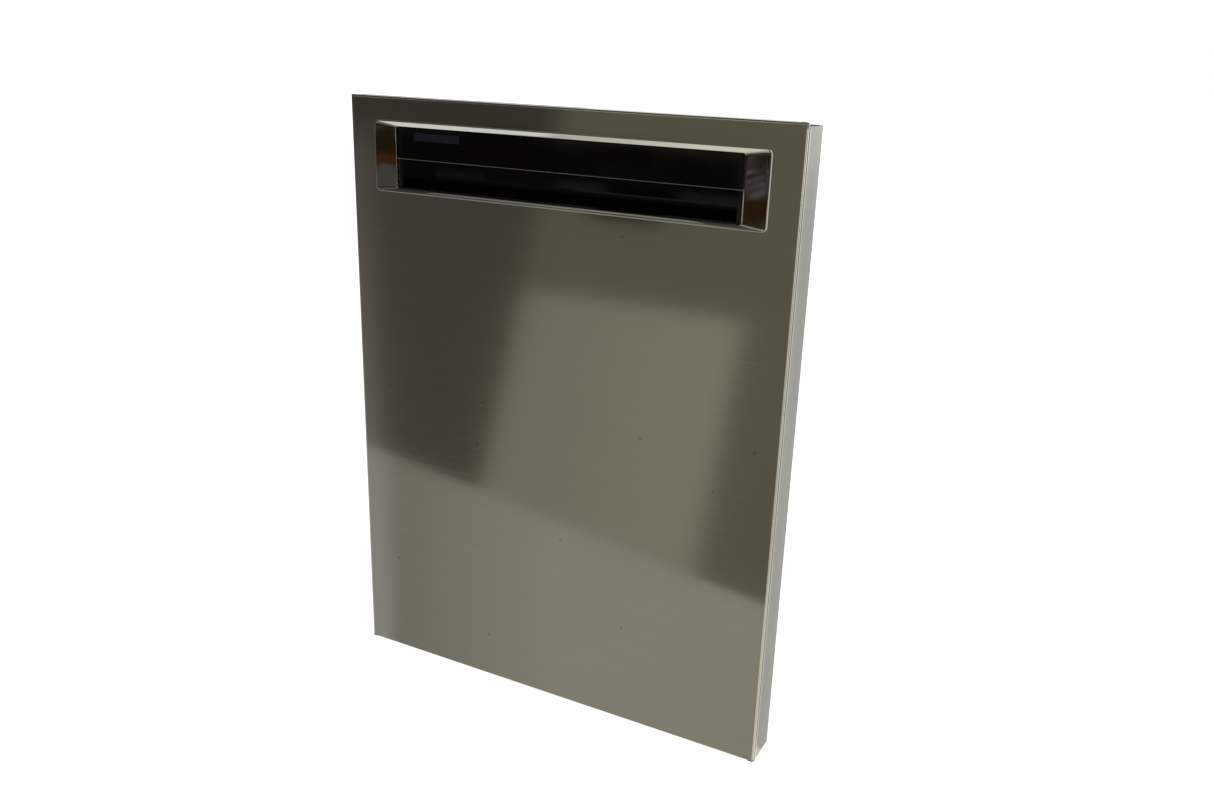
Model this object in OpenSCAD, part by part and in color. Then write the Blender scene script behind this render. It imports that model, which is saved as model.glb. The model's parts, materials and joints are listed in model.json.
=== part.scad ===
// Door assembly of a built-in dishwasher: a folded steel outer panel with a pocket handle,
// side channels, hinge arms, a pressed inner panel, dispenser, vent, latch and top controls.
// Lengths are millimetres. X runs across the door, Y from the face towards the tub, Z up.

/* [Door] */
// Width of the outer panel
door_w = 600; // [594:1:604]
// Height of the outer panel
door_h = 775; // [765:1:785]
// Depth from the face to the rear edge of the side channels
door_d = 52; // [52:0.5:54]
// Sheet thickness of the outer panel and the inner panel
sheet_t = 0.8; // [0.6:0.1:0.9]
// Outer radius of the outer panel's bends
bend_r = 2; // [1.6:0.1:2.4]
// Depth of the outer panel's side returns
side_return = 6.4; // [5:0.2:6.8]
// Depth of the outer panel's top and bottom returns
edge_return = 14; // [10:1:16]
// How far the side channels and side returns stop below the panel's top edge
channel_drop = 5; // [4:0.5:6]

/* [Handle pocket] */
// Width of the chrome bezel
bezel_w = 527; // [520:1:532]
// Height of the chrome bezel
bezel_h = 85.5; // [84:0.5:86]
// Distance from the panel's top edge down to the bezel
bezel_drop = 30; // [29:0.5:32]
// How far the bezel stands proud of the face
bezel_proud = 1.2; // [0.8:0.1:1.6]
// Width of the bezel's sloped cheeks at the left and right
cheek_w = 33.7; // [30:0.1:36]
// Height of the bezel's upper slope
upper_slope = 7; // [6:0.5:8]
// Height of the bezel's lower slope
lower_slope = 4.5; // [4:0.5:5]
// Depth of the bezel's inner edge behind the face
bezel_inner_y = 3.3; // [3:0.1:3.4]
// Depth of the finger hollow's back wall behind the face
hollow_d = 40; // [38:0.5:41]
// Height of the fascia plate above the finger opening
fascia_h = 37.3; // [36:0.1:38]

/* [Inner panel] */
// How far the pressed field stands out towards the tub
field_rise = 12; // [10:0.5:12]
// Corner radius of the pressed field
field_r = 30; // [26:1:40]

/* [Hinges] */
// Radius of the pivot bore in each hinge bush
pivot_r = 6; // [5:0.5:6.5]
// Distance of the pivot behind the face
pivot_y = 74; // [72:1:76]
// Height of the pivot above the bottom edge
pivot_z = 26; // [25:1:28]
// Radius of the hole for the balance spring's link
link_r = 2.5; // [2:0.25:3]

/* [Controls] */
// Length of each button's cap
button_w = 30; // [24:1:34]
// Depth of each button's cap
button_d = 12; // [10:1:13]
// Radius of the light pipes
light_r = 1.5; // [1.2:0.1:1.8]

/* [Hidden] */
$fn = 48;

half_w = door_w / 2;
play = 0.3;                       // gap around parts that sit in an opening
ear_r = 12;                       // radius of the hinge arm's round end
depth_mid = (pivot_y + ear_r - bezel_proud) / 2;

// Handle pocket
bezel_x = [-bezel_w / 2, bezel_w / 2];
bezel_z = [door_h - bezel_drop - bezel_h, door_h - bezel_drop];
bezel_lip = 1.2;                  // how far the bezel laps over the panel's cut-out
bezel_back = 5.5;
mouth_x = [-bezel_w / 2 + cheek_w, bezel_w / 2 - cheek_w];
mouth_z = [bezel_z[0] + lower_slope, bezel_z[1] - upper_slope];
cup_wall = 2.2;
cup_flange_y = [2.8, 7.8];
cup_seat_y = 5.8;                 // face that the bezel and the fascia rest against
cup_flange_x = [-276, 276];
cup_flange_z = [bezel_z[0] - 12.5, bezel_z[1] + 10];
hollow_x = [-226, 226];
lip_z = mouth_z[1] - fascia_h + 0.8;
hollow_floor_z = mouth_z[0] + 0.5;
hollow_roof_z = lip_z + 14.5;
hollow_floor_r = 14;
hollow_roof_r = 10;
window_x = [-206, -137];
window_z = [mouth_z[1] - 15, mouth_z[1] - 5];
stud_r = 2;
stud_places = concat(
    [for (side = [-1, 1], z = [20, 65]) [side * 269, bezel_z[0] + z]],
    [for (x = [-180, -60, 60, 180], z = [-5.5, bezel_h + 4.8]) [x, bezel_z[0] + z]]);

// Inner panel
field_x = [-250, 250];
field_z = [70, door_h - 75];
field_y = door_d + field_rise;
rim_y = [door_d, door_d + sheet_t];
rim_z = [5, door_h - 7];
screw_r = 2.1;
screw_hole_r = 2.3;
head_r = 4.5;
head_h = 2.5;
rim_screws = concat(
    [for (side = [-1, 1], z = [220, 330, 440, 550, 660, 735]) [side * 291, z]],
    [for (x = [-220, -110, 0, 110, 220]) [x, 15]]);
hinge_screw_places = [for (side = [-1, 1], z = [68, 92, 138, 160]) [side * 291, z]];

// Hinges
arm_x = [282, 284.5];
bush_flange_r = 10;
bush_outer_r = 8;

// Dispenser, placed from its own centre
dispenser_x = 15;
dispenser_z = 430;
dispenser_case_x = [-104, 104];
dispenser_case_z = [-64, 64];
dispenser_flange_y = [field_y + 1.5, field_y + 3.5];
soap_x = [-92, 8];
soap_z = [-50, 40];
lid_y = [dispenser_flange_y[1] + 1.4, dispenser_flange_y[1] + 4.9];
lid_x = [-98, 14];
lid_z = [-56, 46];
lid_axis_y = dispenser_flange_y[1] + 4.5;
lid_axis_z = -61;
lid_pin_r = 1.5;
knuckle_r = 4;
cap_x = 58;
cap_z = 20;

// Vent, placed from its own centre
vent_x = 150;
vent_z = 590;
vent_case_r = 39.5;
stem_r = 3;
stem_play = 0.06;

// Console and latch, hung from the top edge
console_x = [-half_w + 2.2, half_w - 2.2];
console_y = [15, 50.5];
console_z = [door_h - 26, door_h - 6];
console_top_t = 2.5;
button_y = 31;
button_travel = 1;
light_y = 41.5;
board_z = [console_z[0] + 7, console_z[0] + 8.6];
latch_z = door_h - 53;
pivot_pin_y = 36;
pivot_pin_z = latch_z + 14;
console_screw_places = [for (x = [-275, -120, 120, 275]) [x, console_z[0] + 3.8]];
button_places = [-215, -155, -95, 95, 155, 215];

// Wiring
loom_r = 4;
lead_r = 2;
grommet_x = -262;
grommet_y = 36;
loom_route = [
    [-252, 38, door_h - 29], [-252, 38, door_h - 34], [-257, 39, door_h - 42], [-267, 40, door_h - 54],
    [-273, 40, door_h - 66], [-274, 40, door_h - 90], [-274, 40, 520], [-274, 40, 300],
    [-274, 40, 80], [-273, 39, 60], [-268, 37.5, 38], [-263, 36, 20], [grommet_x, grommet_y, 10],
    [grommet_x, grommet_y, 1.5]
];
dispenser_lead_route = [
    [-274, 42, 500], [-268, 46, 494], [-256, 47.5, 488], [-220, 47.5, 478], [-140, 47.5, 458],
    [-110, 47.5, 448], [-89.6, 47.5, 444]
];
vent_lead_route = [
    [-274, 42, 656], [-268, 46, 652], [-256, 47.5, 648], [-200, 47.5, 642], [-60, 47.5, 632],
    [60, 47.5, 614], [95, 47.5, 600], [109.6, 47.5, 595]
];

// Moves a shape drawn from the door's face into the part's own frame
module in_door() {
    translate([0, -depth_mid, 0]) children();
}

// A box between two corners, each given as [from, to]
module block(x, y, z) {
    translate([x[0], y[0], z[0]]) cube([x[1] - x[0], y[1] - y[0], z[1] - z[0]]);
}

// Widens a [from, to] pair at both ends
function grow(range, by) = [range[0] - by, range[1] + by];

// Points along an arc
function arc(centre, r, from, to, steps = 6) =
    [for (i = [0:steps])
        let (a = from + (to - from) * i / steps)
        [centre[0] + r * cos(a), centre[1] + r * sin(a)]];

// Outline of a rectangle with round corners
function rounded_outline(a, b, r) = concat(
    arc([a[1] - r, b[1] - r], r, 0, 90),
    arc([a[0] + r, b[1] - r], r, 90, 180),
    arc([a[0] + r, b[0] + r], r, 180, 270),
    arc([a[1] - r, b[0] + r], r, 270, 360));

// An upright plate: round corners in X and Z, thickness along Y
module plate(x, y, z, r) {
    translate([0, y[1], 0])
        rotate([90, 0, 0])
            linear_extrude(y[1] - y[0])
                polygon(rounded_outline(x, z, r));
}

// A level plate: round corners in X and Y, thickness along Z
module level_plate(x, y, z, r) {
    translate([0, 0, z[0]])
        linear_extrude(z[1] - z[0])
            polygon(rounded_outline(x, y, r));
}

// Carries a section drawn in Y and Z along X
module along_x(x) {
    translate([x[0], 0, 0])
        rotate([90, 0, 90])
            linear_extrude(x[1] - x[0])
                children();
}

module rod_x(r, x, y, z) {
    translate([x[0], y, z]) rotate([0, 90, 0]) cylinder(r = r, h = x[1] - x[0]);
}

module rod_y(r, x, y, z) {
    translate([x, y[1], z]) rotate([90, 0, 0]) cylinder(r = r, h = y[1] - y[0]);
}

module rod_z(r, x, y, z) {
    translate([x, y, z[0]]) cylinder(r = r, h = z[1] - z[0]);
}

module right_and_left() {
    children();
    mirror([1, 0, 0]) children();
}

// Holes through Y at each [x, z] place
module holes(places, r, y) {
    for (place = places) rod_y(r, place[0], y, place[1]);
}

// A pan-head screw driven from behind the door
module screw(place, head_from, shank_to) {
    difference() {
        union() {
            rod_y(head_r, place[0], [head_from, head_from + head_h], place[1]);
            rod_y(screw_r, place[0], [shank_to, head_from + 0.1], place[1]);
        }
        for (turn = [0, 90])
            translate([place[0], head_from + head_h - 0.6, place[1]])
                rotate([0, turn, 0])
                    translate([-0.6, 0, -2.6]) cube([1.2, 2, 5.2]);
    }
}

// A wire coil around an X axis: rings joined by a thin back wire, with a straight end
module coil_x(x, y, z, r, wire_r, turns) {
    pitch = (x[1] - x[0]) / (turns - 1);
    for (i = [0:turns - 1])
        translate([x[0] + i * pitch, y, z])
            rotate([0, 90, 0])
                rotate_extrude() translate([r, 0]) circle(wire_r, $fn = 16);
    rod_x(wire_r * 0.8, [x[0], x[1]], y, z + r);
}

// Unit vector along the route at point i
function heading(route, i) =
    let (ahead = route[min(i + 1, len(route) - 1)] - route[max(i - 1, 0)])
    ahead / norm(ahead);

// One ring of a tube's points, square to the heading
function ring(route, i, r, sides) =
    let (
        along = heading(route, i),
        across = cross([0, 1, 0], along) / norm(cross([0, 1, 0], along)),
        up = cross(along, across)
    )
    [for (k = [0:sides - 1])
        let (a = 360 * k / sides)
        route[i] + r * (across * cos(a) + up * sin(a))];

// A tube along a route of points
module tube(route, r, sides = 10) {
    count = len(route);
    points = [for (i = [0:count - 1]) each ring(route, i, r, sides)];
    wall = [for (i = [0:count - 2], k = [0:sides - 1])
        let (n = (k + 1) % sides)
        [i * sides + k, (i + 1) * sides + k, (i + 1) * sides + n, i * sides + n]];
    first_cap = [for (k = [0:sides - 1]) k];
    last_cap = [for (k = [sides - 1:-1:0]) (count - 1) * sides + k];
    polyhedron(points, concat(wall, [first_cap, last_cap]));
}

// Section of a sheet edge folded back: a leg up Z and a return along Y
function fold_section(leg, depth) = concat(
    arc([bend_r, bend_r], bend_r, 180, 270),
    [[depth, 0], [depth, sheet_t]],
    arc([bend_r, bend_r], bend_r - sheet_t, 270, 180),
    [[sheet_t, leg], [0, leg]]);

// Face sheet with its two side returns
module face_and_sides() {
    side_x = [-half_w, half_w];
    difference() {
        level_plate(side_x, [0, 40], [0, door_h], bend_r);
        level_plate(grow(side_x, -sheet_t), [sheet_t, 39], [-1, door_h + 1], bend_r - sheet_t);
        block(grow(side_x, 1), [side_return, 41], [-1, door_h + 1]);
        right_and_left()
            block([half_w - bend_r - 1, half_w + 1], [bend_r, side_return + 1],
                  [door_h - channel_drop + 0.5, door_h + 1]);
    }
}

module outer_panel() {
    fold_leg = 6;
    fold_x = [-half_w + 8, half_w - 8];
    color("#8f8c82") in_door() {
        difference() {
            face_and_sides();
            block(fold_x, [-1, 1.5], [-1, fold_leg]);
            block(fold_x, [-1, 1.5], [door_h - fold_leg, door_h + 1]);
            plate(grow(bezel_x, play - bezel_lip), [-1, 2], grow(bezel_z, play - bezel_lip), 5);
        }
        along_x(fold_x) polygon(fold_section(fold_leg, edge_return));
        translate([0, 0, door_h]) mirror([0, 0, 1])
            along_x(fold_x) polygon(fold_section(fold_leg, edge_return));
        for (place = stud_places) rod_y(stud_r, place[0], [sheet_t - 0.2, 12], place[1]);
    }
}

module side_channel() {
    steel_t = 1;
    web_x = half_w - 0.3;
    flange_x = 285;
    difference() {
        level_plate([flange_x - 10, web_x], [side_return + 0.8, door_d],
                    [0, door_h - channel_drop], 2);
        level_plate([flange_x - 12, web_x - steel_t], [side_return + 0.8 + steel_t, door_d - steel_t],
                    [-1, door_h], 1);
        block([flange_x - 11, flange_x], [0, door_d + 1], [-1, door_h]);
        block([flange_x - 1, web_x - steel_t], [0, edge_return + 1], [-1, sheet_t + 0.4]);
        holes(rim_screws, screw_hole_r, [door_d - 2, door_d + 1]);
        holes(hinge_screw_places, screw_hole_r, [door_d - 2, door_d + 1]);
    }
}

module side_channel_right() {
    color("#b9b8b2") in_door() side_channel();
}

module side_channel_left() {
    color("#b9b8b2") in_door() mirror([1, 0, 0]) side_channel();
}

module bottom_rail() {
    steel_t = 1.2;
    front_y = 9;
    color("#a9aaa8") in_door() difference() {
        along_x([-281, 281]) polygon([
            [front_y, 1], [door_d, 1], [door_d, 30], [door_d - steel_t, 30],
            [door_d - steel_t, 1 + steel_t], [front_y + steel_t, 1 + steel_t],
            [front_y + steel_t, 20], [front_y, 20]
        ]);
        block([vent_x - 24, vent_x + 24], [34, 48], [0, 4]);
        rod_z(8.1, grommet_x, grommet_y, [0, 4]);
        holes(rim_screws, screw_hole_r, [door_d - 2, door_d + 1]);
    }
}

module damping_sheet() {
    color("#2b2b2b") in_door() plate([-275, 275], [sheet_t, 2.8], [30, 640], 6);
}

module insulation_blanket() {
    color("#c9b98a") in_door() difference() {
        plate([-262, 262], [3.4, 44], [32, 640], 10);
        block([dispenser_x - 108, dispenser_x + 108], [28, 50], [dispenser_z - 68, dispenser_z + 68]);
        block([dispenser_x + 15, dispenser_x + 85], [14, 30], [dispenser_z - 34, dispenser_z + 14]);
        rod_y(51, vent_x, [9, 50], vent_z);
        block([vent_x - 28, vent_x + 28], [30, 50], [20, vent_z]);
    }
}

module handle_bezel() {
    front = -bezel_proud;
    rim = 1.2;
    color("#c8c9cb") in_door() difference() {
        union() {
            plate(bezel_x, [front, 0], bezel_z, 6);
            plate(grow(bezel_x, -bezel_lip), [-0.1, bezel_back], grow(bezel_z, -bezel_lip), 4.7);
        }
        hull() {
            plate(grow(bezel_x, -rim), [front - 0.1, front], grow(bezel_z, -rim), 4.8);
            plate(mouth_x, [bezel_inner_y - 0.1, bezel_inner_y], mouth_z, 3);
        }
        plate(mouth_x, [bezel_inner_y - 0.2, bezel_back + 1], mouth_z, 3);
    }
}

module handle_fascia() {
    fascia_x = grow(mouth_x, -0.4);
    front_y = bezel_inner_y + 0.2;
    bottom_z = mouth_z[1] - fascia_h;
    color("#0d0d0f") in_door() difference() {
        union() {
            plate(fascia_x, [front_y, cup_seat_y - 0.1], [bottom_z - 0.9, mouth_z[1] - play], 2.9);
            along_x(grow(hollow_x, -play)) polygon(concat(
                arc([front_y + 0.7, bottom_z - 0.2], 0.7, 180, 270),
                arc([cup_flange_y[1] - 0.3, bottom_z - 0.2], 0.7, 270, 360),
                [[cup_flange_y[1] + 0.4, bottom_z + 0.5], [front_y, bottom_z + 0.5]]));
        }
        block(window_x, [front_y - 1, cup_seat_y + 1], window_z);
    }
}

module display_window() {
    color("#2b333c") in_door()
        plate(grow(window_x, -0.2), [bezel_inner_y + 0.3, cup_flange_y[1] - 0.1],
              grow(window_z, -0.2), 0.8);
}

module display_board() {
    board_y = [11, 12.6];
    color("#1f6b45") in_door() {
        block(grow(window_x, 5.5), board_y, grow(window_z, 2.4));
        block(grow(window_x, -1), [8, board_y[0] + 0.1], grow(window_z, -0.6));
        block([window_x[0] + 8, window_x[0] + 26], [board_y[1] - 0.1, 17.5], grow(window_z, -2));
    }
}

module display_housing() {
    outer_x = grow(window_x, 8);
    outer_z = grow(window_z, 5);
    color("#26272a") in_door() difference() {
        plate(outer_x, [cup_flange_y[1], 20], [outer_z[0] + 0.8, outer_z[1]], 2);
        plate(grow(outer_x, -1.6), [cup_flange_y[1] - 1, 18.4], [outer_z[0] + 2.2, outer_z[1] - 1.4], 1);
    }
}

// Section of the finger hollow, widened by the wall thickness for the outside
function hollow_section(wall) = concat(
    arc([hollow_d - hollow_floor_r, hollow_floor_z + hollow_floor_r], hollow_floor_r + wall, 270, 360, 10),
    arc([hollow_d - hollow_roof_r, hollow_roof_z - hollow_roof_r], hollow_roof_r + wall, 0, 90, 10));

module handle_cup() {
    color("#141416") in_door() difference() {
        union() {
            plate(cup_flange_x, cup_flange_y, cup_flange_z, 8);
            along_x(grow(hollow_x, cup_wall)) polygon(concat(
                [[7, hollow_floor_z - cup_wall]], hollow_section(cup_wall),
                [[7, hollow_roof_z + cup_wall]]));
        }
        plate(grow(bezel_x, play - bezel_lip), [cup_flange_y[0] - 1, cup_seat_y],
              grow(bezel_z, play - bezel_lip), 5);
        along_x(hollow_x) polygon(concat(
            [[cup_seat_y - 1, hollow_floor_z]], hollow_section(0),
            [[cup_flange_y[1] + 2, hollow_roof_z], [cup_flange_y[1], hollow_roof_z - 2],
             [cup_flange_y[1], lip_z], [cup_seat_y - 1, lip_z]]));
        block(window_x, [cup_seat_y - 1, cup_flange_y[1] + 1], window_z);
        holes(stud_places, stud_r + 0.2, [0, 9]);
    }
}

module handle_gasket() {
    color("#1c1c1c") in_door() difference() {
        plate(cup_flange_x, [sheet_t, cup_flange_y[0]], cup_flange_z, 8);
        plate(grow(bezel_x, 0.1), [0, 4], grow(bezel_z, 0.1), 5);
        holes(stud_places, stud_r + 0.2, [0, 9]);
    }
}

module handle_nuts() {
    flats_r = 4.04;
    color("#b7b7b4") in_door()
        for (place = stud_places) difference() {
            translate([place[0], cup_flange_y[1] + 3.2, place[1]])
                rotate([90, 0, 0]) cylinder(r = flats_r, h = 3.2, $fn = 6);
            rod_y(stud_r + 0.1, place[0], [0, 15], place[1]);
        }
}

// The pressed field as a solid block with sloped sides
module field_block() {
    hull() {
        plate(field_x, [door_d, door_d + 0.1], field_z, field_r);
        plate(grow(field_x, -field_rise), [field_y - 0.1, field_y], grow(field_z, -field_rise),
              field_r - 8);
    }
}

module inner_panel() {
    through = [door_d - 5, field_y + 5];
    color("#c4c5c3") in_door() difference() {
        union() {
            plate([-half_w + 3, half_w - 3], rim_y, rim_z, 6);
            field_block();
        }
        translate([0, -sheet_t, 0]) field_block();
        translate([dispenser_x, 0, dispenser_z])
            plate(grow(dispenser_case_x, 0.5), through, grow(dispenser_case_z, 0.5), 12);
        rod_y(vent_case_r + 0.5, vent_x, through, vent_z);
        plate([-12, 26], [door_d - 1, door_d + 2], [latch_z + 1, latch_z + 23], 2);
        right_and_left() block([280.8, 285.7], [door_d - 1, door_d + 2], [4, 54]);
        holes(rim_screws, screw_hole_r, [door_d - 1, door_d + 2]);
        holes(hinge_screw_places, screw_hole_r, [door_d - 1, door_d + 2]);
        holes(console_screw_places, screw_hole_r, [door_d - 1, door_d + 2]);
    }
}

module inner_panel_screws() {
    color("#b7b7b4") in_door()
        for (place = rim_screws) screw(place, rim_y[1], door_d - 8);
}

module lower_seal() {
    color("#3b3c3e") in_door() along_x([-268, 268]) polygon([
        [rim_y[1], 58], [rim_y[1] + 2, 58], [rim_y[1] + 2, 45], [60, 31], [64.5, 24.5],
        [63.2, 22.8], [58, 27.5], [rim_y[1] + 0.8, 36], [rim_y[1], 40]
    ]);
}

module seal_retainer() {
    color("#a9aaa8") in_door() along_x([-270, 270]) polygon([
        [rim_y[1] + 2.1, 47], [rim_y[1] + 3.3, 47], [rim_y[1] + 3.3, 64], [rim_y[1], 64],
        [rim_y[1], 58.2], [rim_y[1] + 2.1, 58.2]
    ]);
}

module hinge_arm() {
    link_y = pivot_y - 14;
    difference() {
        union() {
            along_x(arm_x) polygon(concat(
                [[12, 20], [12, 165], [20, 173], [46, 173], [door_d - 1.4, 168], [door_d - 1.4, 46]],
                arc([pivot_y, pivot_z], ear_r, 90, -90, 16),
                [[door_d - 1.4, 12], [20, 12]]));
            for (z = [[58, 102], [128, 168]])
                block([arm_x[0] + 0.5, half_w - 2], [door_d - 3.6, door_d - 1.1], z);
        }
        rod_x(bush_outer_r + 0.05, grow(arm_x, 1), pivot_y, pivot_z);
        rod_x(link_r, grow(arm_x, 1), link_y, pivot_z + 9);
        holes(hinge_screw_places, screw_hole_r, [door_d - 5, door_d]);
    }
}

module hinge_arm_right() {
    color("#9fa09e") in_door() hinge_arm();
}

module hinge_arm_left() {
    color("#9fa09e") in_door() mirror([1, 0, 0]) hinge_arm();
}

module hinge_bush() {
    difference() {
        union() {
            rod_x(bush_outer_r, grow(arm_x, 0.1), pivot_y, pivot_z);
            rod_x(bush_flange_r, [arm_x[0] - 1.5, arm_x[0]], pivot_y, pivot_z);
            rod_x(bush_flange_r, [arm_x[1], arm_x[1] + 1.5], pivot_y, pivot_z);
        }
        rod_x(pivot_r, grow(arm_x, 3), pivot_y, pivot_z);
    }
}

module hinge_bush_right() {
    color("#ececea") in_door() hinge_bush();
}

module hinge_bush_left() {
    color("#ececea") in_door() mirror([1, 0, 0]) hinge_bush();
}

module hinge_screws() {
    color("#b7b7b4") in_door()
        for (place = hinge_screw_places) screw(place, rim_y[1], door_d - 7);
}

// Places the dispenser's pieces, drawn from the dispenser's centre
module in_dispenser() {
    in_door() translate([dispenser_x, 0, dispenser_z]) children();
}

module dispenser_body() {
    face_y = dispenser_flange_y[1];
    color("#d9d9d6") in_dispenser() difference() {
        union() {
            plate([-118, 118], dispenser_flange_y, [-78, 78], 16);
            plate(dispenser_case_x, [30, dispenser_flange_y[0] + 0.1], dispenser_case_z, 12);
            for (x = [[-88, -80.5], [-9.5, -2]]) {
                rod_x(knuckle_r, x, lid_axis_y, lid_axis_z);
                block(x, [face_y - 0.1, lid_axis_y], [lid_axis_z - 3.4, lid_axis_z + 3.4]);
            }
        }
        plate(soap_x, [36, face_y + 1], soap_z, 14);
        block([20, 98], [34, 62], [-54, 54]);
        rod_y(17, cap_x, [60, face_y + 1], cap_z);
        rod_y(7.1, cap_x, [60, face_y + 1], -34);
        rod_x(lid_pin_r, [-86, -4], lid_axis_y, lid_axis_z);
    }
}

module dispenser_gasket() {
    color("#3b3c3e") in_dispenser() difference() {
        plate([-116, 116], [field_y, dispenser_flange_y[0]], [-76, 76], 15);
        plate(grow(dispenser_case_x, 0.8), [field_y - 1, field_y + 3], grow(dispenser_case_z, 0.8), 12);
    }
}

module dispenser_lid() {
    knuckles = [[-79.8, -62], [-43, -10.2]];
    color("#e4e4e1") in_dispenser() difference() {
        union() {
            plate(lid_x, lid_y, lid_z, 10);
            for (x = knuckles) {
                rod_x(knuckle_r, x, lid_axis_y, lid_axis_z);
                block(x, [lid_y[0], lid_axis_y], [lid_axis_z, lid_z[0] + 4]);
            }
        }
        rod_x(lid_pin_r + 0.06, [-81, -9], lid_axis_y, lid_axis_z);
        plate([-56, -28], [lid_y[0] - 1, lid_y[1] + 1], [20, 38], 4);
        plate([-84, 0], [lid_y[1] - 0.8, lid_y[1] + 1], [-44, 10], 8);
    }
}

module lid_gasket() {
    color("#3b3c3e") in_dispenser() difference() {
        plate(grow(soap_x, 3.5), [dispenser_flange_y[1] + 0.3, lid_y[0]], grow(soap_z, 3.5), 14);
        plate(grow(soap_x, 0.5), [dispenser_flange_y[1] - 1, lid_y[0] + 1], grow(soap_z, 0.5), 12);
    }
}

module lid_pin() {
    color("#b7b7b4") in_dispenser() rod_x(lid_pin_r, [-86, -4], lid_axis_y, lid_axis_z);
}

module lid_spring() {
    color("#b7b7b4") in_dispenser() coil_x([-60, -45], lid_axis_y, lid_axis_z, 2.9, 0.5, 8);
}

module lid_button() {
    color("#6f8fa8") in_dispenser() plate([-55.6, -28.4], [lid_y[0] + 0.2, lid_y[1] + 1.2], [20.4, 37.6], 3.6);
}

module rinse_cap() {
    face_y = dispenser_flange_y[1];
    color("#4e6f8c") in_dispenser() {
        rod_y(16.5, cap_x, [61, face_y + 0.5], cap_z);
        rod_y(23, cap_x, [face_y + 0.3, face_y + 3.2], cap_z);
        plate([cap_x - 18, cap_x + 18], [face_y + 3.1, face_y + 8], [cap_z - 3, cap_z + 3], 2.5);
    }
}

module rinse_window() {
    color("#b8cdd6") in_dispenser() rod_y(7, cap_x, [62.5, dispenser_flange_y[1] + 0.6], -34);
}

module dispenser_actuator() {
    color("#303236") in_dispenser() {
        block([20, 80], [16, 29.9], [-30, 10]);
        rod_x(5, [80, 84], 23, -10);
        block([34, 66], [15, 16.1], [-24, 4]);
    }
}

// Places the vent's pieces, drawn from the vent's centre
module in_vent() {
    in_door() translate([vent_x, 0, vent_z]) children();
}

module vent_housing() {
    seat_y = [51.2, 53.5];
    color("#d9d9d6") in_vent() difference() {
        union() {
            rod_y(vent_case_r, 0, [30, field_y + 2], 0);
            rod_y(48, 0, [60, field_y - sheet_t - 0.8], 0);
        }
        rod_y(vent_case_r - 2, 0, [seat_y[1], field_y + 3], 0);
        rod_y(26, 0, grow(seat_y, 1), 0);
        rod_y(vent_case_r - 2, 0, [32, seat_y[0]], 0);
        rod_y(stem_r + stem_play, 0, [29, 33], 0);
        block([-22, 22], [34, 48], [-42, -20]);
    }
}

module vent_gasket() {
    color("#3b3c3e") in_vent() difference() {
        rod_y(47.5, 0, [field_y - sheet_t - 0.8, field_y - sheet_t], 0);
        rod_y(42, 0, [50, 70], 0);
    }
}

module vent_grille() {
    slot_r = 33;
    color("#d9d9d6") in_vent() difference() {
        rod_y(50, 0, [field_y + 0.1, field_y + 6], 0);
        rod_y(vent_case_r + 0.4, 0, [field_y - 1, field_y + 2.6], 0);
        for (z = [-26:13:26])
            let (half = sqrt(slot_r * slot_r - z * z))
            plate([-half, half], [field_y, field_y + 7], [z - 3.5, z + 3.5], 3.4);
    }
}

module vent_valve() {
    color("#c9cac8") in_vent() {
        rod_y(30, 0, [48, 51], 0);
        rod_y(stem_r, 0, [22, 48.1], 0);
    }
}

module vent_motor() {
    color("#7d6a4d") in_vent() difference() {
        union() {
            rod_y(14, 0, [11, 29.9], 0);
            block([12, 24], [15, 26], [-5, 5]);
        }
        rod_y(stem_r + stem_play, 0, [13, 31], 0);
    }
}

module vent_duct() {
    color("#26272a") in_vent() difference() {
        block([-26, 26], [32, 50], [16 - vent_z, -28]);
        block([-24, 24], [33.5, 48.5], [15 - vent_z, -20]);
        rod_y(vent_case_r + 0.3, 0, [31, 51], 0);
    }
}

module latch_housing() {
    color("#33353a") in_door() difference() {
        plate([-30, 30], [28, door_d - 0.2], [latch_z, latch_z + 24], 2);
        block([-10, 10], [30.5, door_d + 1], [latch_z + 3, latch_z + 22]);
        block([13, 28], [32, 50], [latch_z + 3, latch_z + 22]);
        rod_x(2, [-13.5, 13.5], pivot_pin_y, pivot_pin_z);
        rod_y(2.6, 20.5, [49, door_d + 1], latch_z + 12);
    }
}

module latch_hook() {
    y = pivot_pin_y;
    z = pivot_pin_z;
    color("#a9aaa8") in_door() difference() {
        along_x([-4, 4]) polygon(concat(
            arc([y, z], 5, 90, 270, 10),
            [[y + 7.5, z - 4], [y + 8.5, z - 8.5], [y + 11, z - 9.2], [y + 14, z - 3],
             [y + 14, z + 2], [y + 4, z + 5]]));
        rod_x(2.06, [-5, 5], y, z);
    }
}

module latch_pin() {
    color("#b7b7b4") in_door() rod_x(2, [-13.5, 13.5], pivot_pin_y, pivot_pin_z);
}

module latch_spring() {
    color("#b7b7b4") in_door() coil_x([5, 9], pivot_pin_y, pivot_pin_z, 3, 0.45, 4);
}

module door_switch() {
    z = latch_z + 12;
    color("#1d1e20") in_door() difference() {
        block([14, 27], [33, 48], [z - 8, z + 8]);
        rod_y(2.5, 20.5, [43, 49], z);
    }
}

module switch_plunger() {
    color("#c23b2e") in_door() rod_y(2.4, 20.5, [46.5, door_d + 3.2], latch_z + 12);
}

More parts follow.
